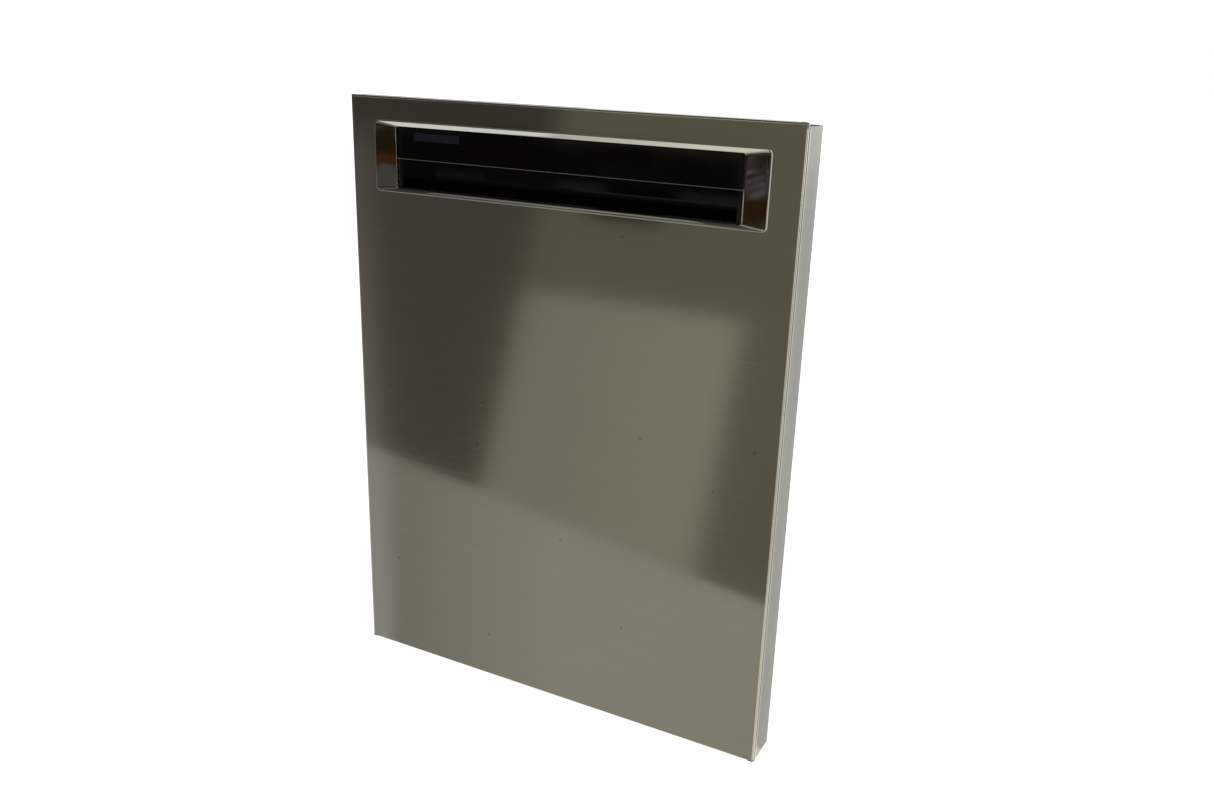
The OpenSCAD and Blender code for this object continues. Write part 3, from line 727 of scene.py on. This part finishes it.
@dataclass
class DoorShell(SubAssembly):
    """Outer panel, side channels and everything between the two skins."""

    nodes: tuple[str, ...] = ("outer_panel", "side_channel_left", "side_channel_right", "bottom_rail",
                              "damping_sheet", "insulation_blanket")
    bend_r: float = 2.0 * MM
    hem_start: float = 4.9 * MM
    hem_end: float = 7.6 * MM
    hem_rise: float = 0.55 * MM
    seam_rise: float = 0.06 * MM
    root: float = 0.4 * MM
    hem_low: float = 2.5 * MM
    hem_high: float = 768.5 * MM

    def extras(self) -> list[bpy.types.Object]:
        """Makes the smooth bends around the face, and the seam and rolled hem of each side return. The bends
        and hems are in a lighter copy of the side steel, a painted highlight; the seam is in a dark copy, a
        painted shadow in the gap.
        """
        low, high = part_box("outer_panel")
        width = (low.x + self.hem_low, high.x - self.hem_low)
        top = self.strip("top_bend", width, high.z, self.bend())
        # the top bend in the lighter steel: a painted highlight
        added = [self.finish_piece(top, "side_steel", "painted_highlight_steel")]
        # side bends and hems in the lighter steel, a painted highlight; the seam between them in dark steel,
        # a painted shadow
        kinds = (("bend", self.bend(), "painted_highlight_steel"), ("seam", self.seam(), "painted_shadow_seam"),
                 ("hem", self.hem(), "painted_highlight_steel"))
        for word, edge in (("left", low.x), ("right", high.x)):
            for kind, outline, finish in kinds:
                piece = self.strip(f"side_{kind}_{word}", (self.hem_low, self.hem_high), edge, outline, True)
                added.append(self.finish_piece(piece, "side_steel", finish))
        return added

    def strip(self, name: str, span: tuple[float, float], edge: float,
              outline: Arrays, upright: bool = False) -> bpy.types.Object:
        """Draws a closed outline along one edge of the face, and closes its ends to a point.

        Args:
            name: The piece's name.
            span: Where it starts and ends along the edge.
            edge: Where the edge's outer plane is.
            outline: Distances outwards from that plane, and distances back from the face.
            upright: Whether the edge is a side; otherwise it is the top.

        Returns:
            The strip.
        """
        out, back = outline
        along, size = end_rows(span)
        along = np.repeat(along, len(out), 1)
        outwards = edge + math.copysign(1.0, edge) * (out.mean() + (out - out.mean())[None, :] * size)
        y = self.face_y + back.mean() + (back - back.mean())[None, :] * size
        points = np.stack([outwards, y, along] if upright else [along, y, outwards], -1)
        return make_mesh(name, points, grid_faces(len(size), len(out), False, True))

    def hem(self) -> Arrays:
        """Outline of a hem: a half ellipse across the return's edge, its feet inside the sheet."""
        turn = np.linspace(-0.35, np.pi + 0.35, 19)
        middle, half = (self.hem_start + self.hem_end) / 2, (self.hem_end - self.hem_start) / 2
        out = np.append(self.hem_rise * np.sin(turn), -self.root)
        return out, np.append(middle - half * np.cos(turn), middle)

    def seam(self) -> Arrays:
        """Outline of the seam between the bend and the hem: a flat strip that hardly rises, in dark steel
        that paints the shadow in the gap.
        """
        low, high = self.bend_r + 0.2 * MM, self.hem_start - 0.1 * MM
        out = np.array([-self.root, self.seam_rise, self.seam_rise, -self.root])
        return out, np.array([low, low, high, high])

    def bend(self) -> Arrays:
        """Outline of a bend: a quarter circle just outside the sheet's own, its ends inside the sheet."""
        turn = np.linspace(-0.42, np.pi / 2 + 0.42, 24)
        radius, reach = self.bend_r, self.bend_r + 0.1 * MM
        out = np.append(reach * np.sin(turn) - radius, -radius * 0.6)
        return out, np.append(radius - reach * np.cos(turn), radius * 0.6)


@dataclass
class PocketHandle(SubAssembly):
    """Chrome bezel, black fascia with its display, and the finger cup."""

    nodes: tuple[str, ...] = ("handle_bezel", "handle_fascia", "display_window", "display_board",
                              "display_housing", "handle_cup", "handle_gasket", "handle_nuts")
    reach: float = 264.0 * MM
    bottom: float = 657.9 * MM
    top: float = 746.1 * MM
    mouth_reach: float = 233.0 * MM
    mouth_bottom: float = 662.3 * MM
    mouth_top: float = 739.7 * MM
    mouth_y: float = 2.5 * MM
    back_y: float = 5.5 * MM
    rim: float = 1.2 * MM
    rim_below: float = 0.5 * MM
    proud: float = 0.85 * MM
    corner: float = 6.5 * MM
    inner_corner: float = 3.2 * MM
    lap: float = 1.2 * MM
    lip_z: float = 700.2 * MM
    lip_r: float = 0.6 * MM
    lip_y: float = 3.4 * MM
    sag: float = 0.03 * MM
    roll: float = 0.25 * MM
    shadow_gap_peek: float = 0.45 * MM

    def extras(self) -> list[bpy.types.Object]:
        """Makes the smooth bezel, the gasket's dark edge around it as painted shade for the shadow gap, and
        the rounded lower edge of the fascia in a lighter grey as a painted highlight.
        """
        bezel = self.finish_piece(self.make_bezel(), "chrome_trim")
        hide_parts("handle_bezel")
        # the fascia's lower edge in grey plastic lighter than the black fascia: a painted highlight
        lip = self.finish_piece(self.make_lip_highlight(), "button_plastic")
        # dark ring peeking out around the bezel: painted shade for the shadow gap at its edge
        edge = self.finish_piece(self.make_shadow_gap_ring(), "seal_rubber")
        return [bezel, lip, edge]

    def make_bezel(self) -> bpy.types.Object:
        """The bezel as one closed ring.

        Each row is a loop around the pocket. The first rows are the rim, a quarter round that
        rises from the face. From its crest the loops slide towards the smaller mouth along a
        line that sags a little in its middle, then they turn into the pocket, come back behind
        the slopes and close on the first row.

        Returns:
            The bezel.
        """
        half_w, half_h = self.reach, (self.top - self.bottom) / 2
        middle = (self.top + self.bottom) / 2
        mouth_h = (self.mouth_top - self.mouth_bottom) / 2
        shift = np.array([0.0, (self.mouth_top + self.mouth_bottom) / 2 - middle])
        inner = rounded_loop(self.mouth_reach, mouth_h, self.inner_corner) + shift
        rows: list[np.ndarray] = []

        def add(loop: np.ndarray, y: float) -> None:
            """Adds one loop at a depth behind the face."""
            depth = np.full((len(loop), 1), self.face_y + y)
            rows.append(np.concatenate([loop[:, :1], depth, loop[:, 1:] + middle], axis=1))

        def inset(by: float) -> np.ndarray:
            """The outer outline moved inwards."""
            return rounded_loop(half_w - by, half_h - by, max(self.corner - by, 0.5 * MM))

        outer = inset(0.0)
        lift = np.array([0.0, (self.rim_below - self.rim) / 2])
        crest_h = half_h - (self.rim + self.rim_below) / 2
        start_loop = rounded_loop(half_w - self.rim, crest_h, self.corner - self.rim) + lift
        start_y = -self.proud
        for angle in np.linspace(0.0, np.pi / 2, 10):
            add(outer * math.cos(angle) + start_loop * (1 - math.cos(angle)), -self.proud * math.sin(angle))
        add(start_loop * 0.97 + inner * 0.03, start_y + 0.02 * MM)
        for part in np.linspace(0.08, 1.0, 9):
            y = start_y + (self.mouth_y - start_y) * part + self.sag * math.sin(np.pi * part)
            add(start_loop * (1 - part) + inner * part, y)
        for angle in np.linspace(0.0, np.pi / 2, 5)[1:]:
            by = self.roll * math.sin(angle)
            tight = rounded_loop(self.mouth_reach - by, mouth_h - by, self.inner_corner - by) + shift
            add(tight, self.mouth_y + self.roll * (1 - math.cos(angle)))
        last = rows[-1].copy()
        last[:, 1] = self.face_y + self.back_y
        rows.append(last)
        add(inset(self.lap), self.back_y)
        add(inset(self.lap), 0.2 * MM)
        return make_mesh("bezel_surround", np.stack(rows), grid_faces(len(rows), len(inner), True, True))

    def make_lip_highlight(self) -> bpy.types.Object:
        """The fascia's rounded lower edge: a round rod, drawn from cheek to cheek and closed at its ends. Its
        grey, lighter than the black fascia, is a painted highlight along the edge.

        Returns:
            The lip.
        """
        turn = np.linspace(0.0, 2 * np.pi, 16, endpoint=False)
        reach = self.mouth_reach + 1.5 * MM
        along, size = end_rows((-reach, reach))
        x = np.repeat(along, len(turn), 1)
        y = self.face_y + self.lip_y + self.lip_r + self.lip_r * size * np.cos(turn)[None, :]
        z = self.lip_z + self.lip_r * size * np.sin(turn)[None, :]
        return make_mesh("fascia_lip_highlight", np.stack([x, y, z], -1), grid_faces(len(size), len(turn), False, True))

    def make_shadow_gap_ring(self) -> bpy.types.Object:
        """The gasket's dark edge, which peeks out around the bezel above it and at its sides. It is placed
        there as painted shade, to draw the shadow gap between the bezel and the face.

        Returns:
            The edge, a closed ring.
        """
        half_h, middle = (self.top - self.bottom) / 2, (self.top + self.bottom) / 2
        peek, under, height = self.shadow_gap_peek, 0.3 * MM, 0.2 * MM
        rows = []
        for by, y in ((peek, height), (peek, -height), (-under, -height), (-under, height)):
            loop = rounded_loop(self.reach + by, half_h + by / 2, self.corner + by)
            depth = np.full(len(loop), self.face_y + y)
            rows.append(np.stack([loop[:, 0], depth, loop[:, 1] + middle + by / 2], -1))
        return make_mesh("bezel_shadow_gap_ring", np.stack(rows), grid_faces(4, len(rows[0]), True, True), False)


class Sign(enum.Enum):
    """Plain signs beside the buttons, each by the name of its button."""

    POWER = "power_button"
    CYCLE = "cycle_button"
    OPTIONS = "options_button"
    DRY = "dry_button"
    DELAY = "delay_button"
    START = "start_button"


@dataclass
class TopControls(SubAssembly):
    """Console, buttons, light pipes, board and latch along the top edge."""

    nodes: tuple[str, ...] = (
        "control_console", "console_screws", "control_board", "board_cover", "indicator_lights",
        *(sign.value for sign in Sign),
        "latch_housing", "latch_hook", "latch_pin", "latch_spring", "door_switch", "switch_plunger")
    rounded: dict[str, float] = field(default_factory=lambda: {
        "control_console": 0.5, "latch_hook": 0.3, **{sign.value: 0.6 for sign in Sign}})
    sign_gap: float = 11.5 * MM
    sign_r: float = 2.6 * MM
    line: float = 0.55 * MM
    relief: float = 0.12 * MM

    def extras(self) -> list[bpy.types.Object]:
        """Makes the raised signs in front of the buttons."""
        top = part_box("control_console")[1].z
        parts = []
        for sign in Sign:
            low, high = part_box(sign.value)
            place = np.array([(low.x + high.x) / 2, (low.y + high.y) / 2 - self.sign_gap, top])
            points, faces = joined(self.strokes(sign))
            parts.append((points + place, faces))
        points, faces = joined(parts)
        return [self.finish_piece(make_mesh("console_signs", points, faces, smooth=False), "nylon")]

    def strokes(self, sign: Sign) -> list[Arrays]:
        """The raised lines of one sign.

        Args:
            sign: Which sign.

        Returns:
            Points and faces of each line.
        """
        r = self.sign_r

        def line(path: np.ndarray, closed: bool = False) -> Arrays:
            """One raised line."""
            return ribbon(path, self.line, self.relief, closed)

        def straight(x0: float, y0: float, x1: float, y1: float) -> Arrays:
            """One straight line, in multiples of the sign's radius."""
            return line(np.linspace([x0 * r, y0 * r], [x1 * r, y1 * r], 3))

        if sign is Sign.POWER:
            return [line(arc(r, 125.0, 415.0, 20)), straight(0.0, 0.35, 0.0, 1.25)]
        if sign is Sign.CYCLE:
            return [line(arc(r, 20.0, 160.0)), line(arc(r, 200.0, 340.0)), straight(0.94, 0.34, 0.55, 0.5),
                    straight(-0.94, -0.34, -0.55, -0.5)]
        if sign is Sign.OPTIONS:
            return [line(arc(0.2 * r, 0.0, 330.0, 8) + [x * r, 0.0], True) for x in (-1.0, 0.0, 1.0)]
        if sign is Sign.DRY:
            y = np.linspace(-r, r, 13)
            wave = 0.2 * r * np.sin(y / r * np.pi)
            return [line(np.stack([x * r + wave, y], -1)) for x in (-0.8, 0.0, 0.8)]
        if sign is Sign.DELAY:
            hands = [straight(0.0, 0.0, 0.0, 0.62), straight(0.0, 0.0, 0.45, 0.0)]
            return [line(arc(r, 0.0, 342.0, 20), True)] + hands
        corner = np.array([[-0.6, -0.9], [0.9, 0.0], [-0.6, 0.9]]) * r
        return [line(np.linspace(corner[i], corner[(i + 1) % 3], 4)) for i in range(3)]


@dataclass
class TubSide(SubAssembly):
    """Inner panel with its seal, screws, hinge arms and bushes."""

    nodes: tuple[str, ...] = ("inner_panel", "inner_panel_screws", "lower_seal", "seal_retainer",
                              "hinge_arm_left", "hinge_arm_right", "hinge_bush_left", "hinge_bush_right",
                              "hinge_screws")
    rounded: dict[str, float] = field(default_factory=lambda: {
        "hinge_arm_left": 0.3, "hinge_arm_right": 0.3, "seal_retainer": 0.2})
    bead_w: float = 9.0 * MM
    bead_rise: float = 1.0 * MM
    bead_reach: float = 175.0 * MM
    bead_heights: tuple[float, ...] = (118.0 * MM, 158.0 * MM, 198.0 * MM)
    field_y: float = 64.0 * MM

    def extras(self) -> list[bpy.types.Object]:
        """Makes the stiffening beads pressed into the lower field."""
        y = self.face_y + self.field_y
        points, faces = joined([self.bead(height, y) for height in self.bead_heights])
        return [self.finish_piece(make_mesh("field_beads", points, faces), "liner_steel")]

    def bead(self, height: float, y: float) -> Arrays:
        """One long low bead, wide in its middle and closing to nothing at its ends.

        Along X the size follows a half circle over the last bead's width at either end. Across it
        the section is a cosine hump, closed by a flat back just inside the sheet.

        Args:
            height: Height of its middle line.
            y: Depth of the field's surface.

        Returns:
            Points and faces.
        """
        bow = np.sin(np.linspace(0.0, np.pi / 2, 9))
        start = -self.bead_reach - self.bead_w / 2 * np.cos(np.linspace(0.0, np.pi / 2, 9))
        x = np.concatenate([start, -start[::-1]])
        size = np.concatenate([bow, bow[::-1]])
        across = np.linspace(-1.0, 1.0, 13)
        hump = self.bead_rise * (0.5 + 0.5 * np.cos(across * np.pi))
        across, hump = np.append(across, 0.0), np.append(hump - 0.05 * MM, -0.4 * MM)
        z = height + self.bead_w / 2 * across[None, :] * size[:, None]
        out = y + hump[None, :] * size[:, None]
        points = np.stack([np.repeat(x[:, None], len(across), 1), out, z], -1)
        faces = grid_faces(len(x), len(across), False, True)
        return points.reshape(-1, 3), faces


@dataclass
class Dispenser(SubAssembly):
    """Detergent dispenser with its lid, cap, window and actuator."""

    nodes: tuple[str, ...] = ("dispenser_body", "dispenser_gasket", "dispenser_lid", "lid_gasket", "lid_pin",
                              "lid_spring", "lid_button", "rinse_cap", "rinse_window", "dispenser_actuator")
    rounded: dict[str, float] = field(default_factory=lambda: {
        "dispenser_body": 0.5, "dispenser_lid": 0.6, "lid_button": 0.5, "rinse_cap": 0.4})


@dataclass
class Vent(SubAssembly):
    """Drying vent with its grille, valve, wax motor and duct."""

    nodes: tuple[str, ...] = ("vent_housing", "vent_gasket", "vent_grille", "vent_valve", "vent_motor",
                              "vent_duct")
    rounded: dict[str, float] = field(default_factory=lambda: {"vent_grille": 0.6})


@dataclass
class Wiring(SubAssembly):
    """Loom, clips and the grommet in the bottom rail."""

    nodes: tuple[str, ...] = ("wiring_loom", "loom_clips", "loom_grommet")


# Studio


@dataclass(frozen=True)
class Patch:
    """A soft-edged rectangle on the room card; its edges may be ragged, and it may be streaked."""

    low_x: float
    high_x: float
    low_z: float
    high_z: float
    soft: float
    colour: Colour
    ragged: float = 0.0
    streaked: bool = False


@dataclass
class Studio:
    """Plain white floor, soft light, and dim cards that only the shiny surfaces see."""

    face_y: float
    floor_size: float = 40.0
    card_gap: float = 1.0
    ceiling: float = 3.0
    table_level: float = 0.001
    patches: tuple[Patch, ...] = (
        # the dark band that the pocket mirrors
        Patch(-1.02, -0.15, 0.545, 0.634, 0.01, (0.010, 0.0085, 0.006)),
        # the left and right cheeks' dark brown
        Patch(-0.83, -0.64, 0.525, 0.650, 0.006, (0.011, 0.0075, 0.0035)),
        Patch(-0.50, -0.32, 0.482, 0.640, 0.01, (0.016, 0.009, 0.004)),
        # grey and orange in the left cheek
        Patch(-0.83, -0.64, 0.52, 0.572, 0.003, (0.048, 0.046, 0.040), 0.03),
        Patch(-0.83, -0.64, 0.576, 0.598, 0.004, (0.040, 0.014, 0.003), 0.02),
        # grey folds and a brown foot in the right cheek
        Patch(-0.49, -0.33, 0.545, 0.605, 0.012, (0.085, 0.083, 0.090), 0.08, True),
        Patch(-0.48, -0.36, 0.505, 0.535, 0.006, (0.018, 0.008, 0.003), 0.05),
    )

    def build(self) -> None:
        """Builds the whole stage."""
        self.make_world()
        self.make_floor()
        self.make_ground_card()
        self.make_room_card()
        self.make_ceiling_card()
        self.make_rear_cards()
        self.make_lights()

    def make_world(self) -> None:
        """White surround."""
        world = bpy.data.worlds.new("studio_world")
        bpy.context.scene.world = world
        world.use_nodes = True
        background = world.node_tree.nodes["Background"]
        background.inputs["Color"].default_value = (1.0, 1.0, 0.985, 1.0)
        background.inputs["Strength"].default_value = 1.0

    def plane(self, name: str, corners: list[Corner]) -> bpy.types.Object:
        """A four-cornered stage sheet.

        Args:
            name: The object's name.
            corners: Its corners in order.

        Returns:
            The sheet.
        """
        sheet = make_mesh(name, np.array(corners), np.array([[0, 1, 2, 3]]), smooth=False)
        return sheet

    def card(self, name: str, corners: list[Corner]) -> ShaderGraph:
        """A sheet that only gives light, and that nothing but mirror-like reflections sees.

        Args:
            name: The object's name.
            corners: Its corners in order.

        Returns:
            The graph of its material, a black shader that emits.
        """
        sheet = self.plane(name, corners)
        for kind in ("camera", "diffuse", "transmission", "volume_scatter", "shadow"):
            setattr(sheet, "visible_" + kind, False)
        graph = ShaderGraph(name + "_glow")
        graph.set(base_color=(0.0, 0.0, 0.0), roughness=1.0, specular_ior_level=0.0, emission_strength=1.0)
        sheet.data.materials.append(graph.material)
        return graph

    def axes(self, graph: ShaderGraph) -> tuple[Socket, Socket, Socket]:
        """The three coordinates of the shaded point."""
        split = graph.tree.nodes.new("ShaderNodeSeparateXYZ")
        graph.link(graph.coords, split.inputs["Vector"])
        return split.outputs["X"], split.outputs["Y"], split.outputs["Z"]

    def make_floor(self) -> None:
        """Pale floor that glows a little, so that it meets the surround without a line."""
        half = self.floor_size / 2
        corners = [(-half, -half, 0.0), (half, -half, 0.0), (half, half, 0.0), (-half, half, 0.0)]
        floor = self.plane("floor", corners)
        floor.visible_glossy = False
        graph = ShaderGraph("floor_paper")
        mottle = graph.noise((3.0, 3.0, 3.0))
        graph.drive("Base Color", graph.blend(mottle, (0.60, 0.60, 0.60), (0.62, 0.62, 0.62)))
        graph.set(roughness=1.0, emission_color=(1.0, 1.0, 1.0), emission_strength=0.66)
        floor.data.materials.append(graph.material)

    def make_ground_card(self) -> None:
        """The bright table in front of the door, as the steel and the chrome see it.

        Its far edge slants. At its left a paler part and then a dimmer one fan out from a fixed
        point behind the door.
        """
        front, low = self.face_y, self.table_level
        graph = self.card("ground_card", [(-3.2, front - 1.160, low), (1.3, front - 0.132, low),
                                          (1.3, front + 0.001, low), (-3.2, front + 0.001, low)])
        x, y, _ = self.axes(graph)
        table = graph.blend(graph.noise((1.5, 1.5, 1.5)), (0.55, 0.535, 0.45), (0.60, 0.59, 0.51))
        fan_x, fan_y = 0.6457, 1.1017
        depth = graph.math("MULTIPLY_ADD", graph.math("SUBTRACT", y, front + fan_y), -1.0, 0.0)
        ray = graph.math("DIVIDE", graph.math("SUBTRACT", x, fan_x), depth)
        edge = graph.span(ray, 1.0, 0.0, -0.80, -0.58)
        side = graph.blend(graph.span(ray, 1.0, 0.0, -0.84, -0.81), (0.42, 0.41, 0.355), (0.60, 0.60, 0.56))
        graph.drive("Emission Color", graph.blend(edge, table, side))

    def make_room_card(self) -> None:
        """The dim room beyond the table.

        It has a mid tone, a lighter pane, a darker side and a strip at the far left, a bright
        part and a dim one at the right, and the patches that the pocket and its chrome mirror.
        """
        y, top = self.face_y - self.card_gap, self.ceiling
        graph = self.card("room_card", [(-6.0, y, -1.1), (-6.0, y, top), (6.0, y, top), (6.0, y, -1.1)])
        x, _, z = self.axes(graph)
        wobble = graph.math("SUBTRACT", graph.noise((40.0, 1.0, 40.0), detail=4.0), 0.5)

        def step(value: Socket, edge: float, soft: float) -> Socket:
            """0 well below an edge, 1 well above it."""
            node = graph.span(value, 0.0, 1.0, edge - soft, edge + soft).node
            node.interpolation_type = "SMOOTHSTEP"
            return node.outputs["Result"]

        def leaning(line_x: float, line_z: float, slope: float, soft: float = 0.018) -> Socket:
            """1 to the right of a leaning line, 0 to its left."""
            lean = graph.math("MULTIPLY", graph.math("SUBTRACT", z, line_z), slope)
            return step(graph.math("SUBTRACT", x, lean), line_x, soft)

        def invert(value: Socket) -> Socket:
            """One minus a value."""
            return graph.math("MULTIPLY_ADD", value, -1.0)

        def between(value: Socket, low: float, high: float, soft: float) -> Socket:
            """1 between two edges, 0 outside them."""
            return graph.math("MULTIPLY", step(value, low, soft), invert(step(value, high, soft)))

        def inside(patch: Patch) -> Socket:
            """1 inside a patch, 0 outside."""
            rough = graph.math("MULTIPLY", wobble, patch.ragged)
            tall = between(graph.math("ADD", z, rough), patch.low_z, patch.high_z, patch.soft)
            wide = between(graph.math("ADD", x, rough), patch.low_x, patch.high_x, patch.soft)
            area = graph.math("MULTIPLY", tall, wide)
            return graph.math("MULTIPLY", area, streaks) if patch.streaked else area

        right_side = leaning(-0.575, 0.701, 0.2347)
        left_side = invert(right_side)
        pane = graph.math("MULTIPLY", right_side, invert(leaning(-0.118, 0.310, 0.124)))
        pane = graph.math("MULTIPLY", pane, invert(step(z, 0.30, 0.02)))
        room = graph.blend(graph.noise((2.0, 2.0, 2.0)), (0.225, 0.212, 0.155), (0.255, 0.244, 0.190))
        light = graph.blend(graph.span(x, 0.0, 1.0, -0.6, -0.15), (0.435, 0.42, 0.33), (0.52, 0.505, 0.395))
        strip = graph.blend(graph.span(z, 0.0, 1.0, -0.1, 0.5), (0.36, 0.35, 0.32), (0.20, 0.195, 0.175))
        tint = graph.blend(pane, room, light)
        for where, colour in (
                (left_side, (0.130, 0.122, 0.102)),
                (invert(step(x, -1.115, 0.03)), strip),
                (graph.math("MULTIPLY", left_side, step(z, 0.62, 0.08)), (0.09, 0.082, 0.066)),
                (step(z, 0.95, 0.2), (0.035, 0.033, 0.028)),
                (step(x, 0.55, 0.12), (0.92, 0.92, 0.85)),
                (step(x, 1.15, 0.12), (0.10, 0.098, 0.08)),
                (invert(step(x, -1.42, 0.06)), (0.02, 0.02, 0.018))):
            tint = graph.blend(where, tint, colour)
        folds = graph.tree.nodes.new("ShaderNodeTexNoise")
        folds.noise_dimensions = "1D"
        folds.inputs["Scale"].default_value = 75.0
        folds.inputs["Detail"].default_value = 2.0
        sweep = graph.math("ADD", z, graph.math("MULTIPLY", x, -0.55))
        graph.link(graph.math("ADD", sweep, graph.math("MULTIPLY", wobble, 0.03)), folds.inputs["W"])
        streaks = graph.span(folds.outputs["Fac"], 0.0, 1.0, 0.46, 0.62)
        for patch in self.patches:
            tint = graph.blend(inside(patch), tint, patch.colour)
        graph.drive("Emission Color", tint)

    def make_ceiling_card(self) -> None:
        """A dim ceiling over the front of the door, lighter to the right, with a slanting far edge."""
        near, top = self.face_y - self.card_gap, self.ceiling
        corners = [(-6.0, near, top), (-6.0, 1.6, top), (1.4, -0.35, top), (1.4, near, top)]
        graph = self.card("ceiling_card", corners)
        x, _, _ = self.axes(graph)
        lamp = graph.blend(graph.noise((2.5, 2.5, 2.5)), (0.15, 0.148, 0.125), (0.21, 0.208, 0.18))
        lit = graph.span(x, 0.0, 1.0, -2.4, -1.5)
        graph.drive("Emission Color", graph.blend(lit, (0.07, 0.07, 0.06), lamp))

    def make_rear_cards(self) -> None:
        """What the sides and the liner mirror: a pale ground behind the door, a dark wall, two tall flags."""
        front, low, top = self.face_y, self.table_level, self.ceiling
        near, far, half = front + 0.03, 7.0, 5.0
        ground = self.card("rear_ground_card", [(-half, near, low), (half, near, low), (half, far, low),
                                                (-half, far, low)])
        _, y, _ = self.axes(ground)
        ground.drive("Emission Color", ground.blend(ground.span(y, 0.0, 1.0, 0.0, 1.6), (0.63, 0.63, 0.595),
                                                    (0.64, 0.64, 0.615)))
        x, near, far = -3.4, front - 1.0, front + 1.2
        wall = self.card("left_wall_card", [(x, near, 0.0), (x, near, top), (x, far, top), (x, far, 0.0)])
        wall.drive("Emission Color", wall.blend(wall.noise((2.0, 2.0, 2.0)), (0.012, 0.012, 0.010),
                                                (0.03, 0.03, 0.026)))
        y = front + 2.8
        for name, left, right in (("rear_flag_left", -3.4, -1.5), ("rear_flag_right", 3.0, 4.6)):
            flag = self.card(name, [(right, y, 0.0), (right, y, top), (left, y, top), (left, y, 0.0)])
            _, _, z = self.axes(flag)
            flag.drive("Emission Color", flag.blend(flag.span(z, 0.0, 1.0, 0.0, 2.0), (0.42, 0.42, 0.42),
                                                    (0.16, 0.16, 0.165)))

    def make_lights(self) -> None:
        """Two large soft lamps, high at the left front and at the rear, that leave no highlight."""
        lamps = (("key", (-1.6, -1.4, 2.6), 9.0, 1.6), ("rim", (1.2, 2.2, 2.4), 7.0, 1.8))
        for name, place, power, size in lamps:
            lamp = bpy.data.lights.new(name, "AREA")
            lamp.shape = "SQUARE"
            lamp.size = size
            lamp.energy = power
            obj = bpy.data.objects.new(name, lamp)
            obj.location = place
            aim = Vector((0.0, 0.0, 0.4)) - Vector(place)
            obj.rotation_euler = aim.to_track_quat("-Z", "Y").to_euler()
            obj.visible_glossy = False
            bpy.context.scene.collection.objects.link(obj)


@dataclass
class ViewCamera:
    """The main camera, placed from the middle of the face's bottom edge."""

    face_y: float
    right: float = 0.64574
    out: float = 1.10172
    height: float = 0.84326
    azimuth: float = 27.251
    elevation: float = 18.442
    roll: float = 1.889
    lens: float = 31.97
    sensor: float = 36.0

    def build(self) -> None:
        """Makes the camera and sets it as the scene's.

        The view direction comes from azimuth and elevation, and the roll turns the level
        right and up directions about it.
        """
        azimuth, elevation, roll = (math.radians(v) for v in (self.azimuth, self.elevation, self.roll))
        ahead = Vector((-math.sin(azimuth) * math.cos(elevation), math.cos(azimuth) * math.cos(elevation),
                        -math.sin(elevation)))
        level_right = ahead.cross(Vector((0, 0, 1))).normalized()
        level_up = level_right.cross(ahead)
        right = level_right * math.cos(roll) + level_up * math.sin(roll)
        up = right.cross(ahead)
        data = bpy.data.cameras.new("main_camera")
        data.lens, data.sensor_width = self.lens, self.sensor
        data.clip_end = 100.0
        camera = bpy.data.objects.new("main_camera", data)
        turn = Matrix((right, up, -ahead)).transposed().to_4x4()
        place = Vector((self.right, self.face_y - self.out, self.height))
        camera.matrix_world = Matrix.Translation(place) @ turn
        bpy.context.scene.collection.objects.link(camera)
        bpy.context.scene.camera = camera


def main() -> None:
    """Builds the door's looks, the studio and the camera."""
    logging.basicConfig(level=logging.INFO, format="%(name)s: %(message)s")
    bpy.context.scene.view_settings.view_transform = "Standard"
    face_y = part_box("outer_panel")[0].y
    paint = Paintbox()
    for assembly in (DoorShell, PocketHandle, TopControls, TubSide, Dispenser, Vent, Wiring):
        group = assembly(paint)
        added = group.build()
        LOG.info("%s: %d nodes dressed, %s added", assembly.__name__, len(group.nodes),
                 [piece.name for piece in added])
    Studio(face_y).build()
    ViewCamera(face_y).build()


if __name__ == "__main__":
    main()
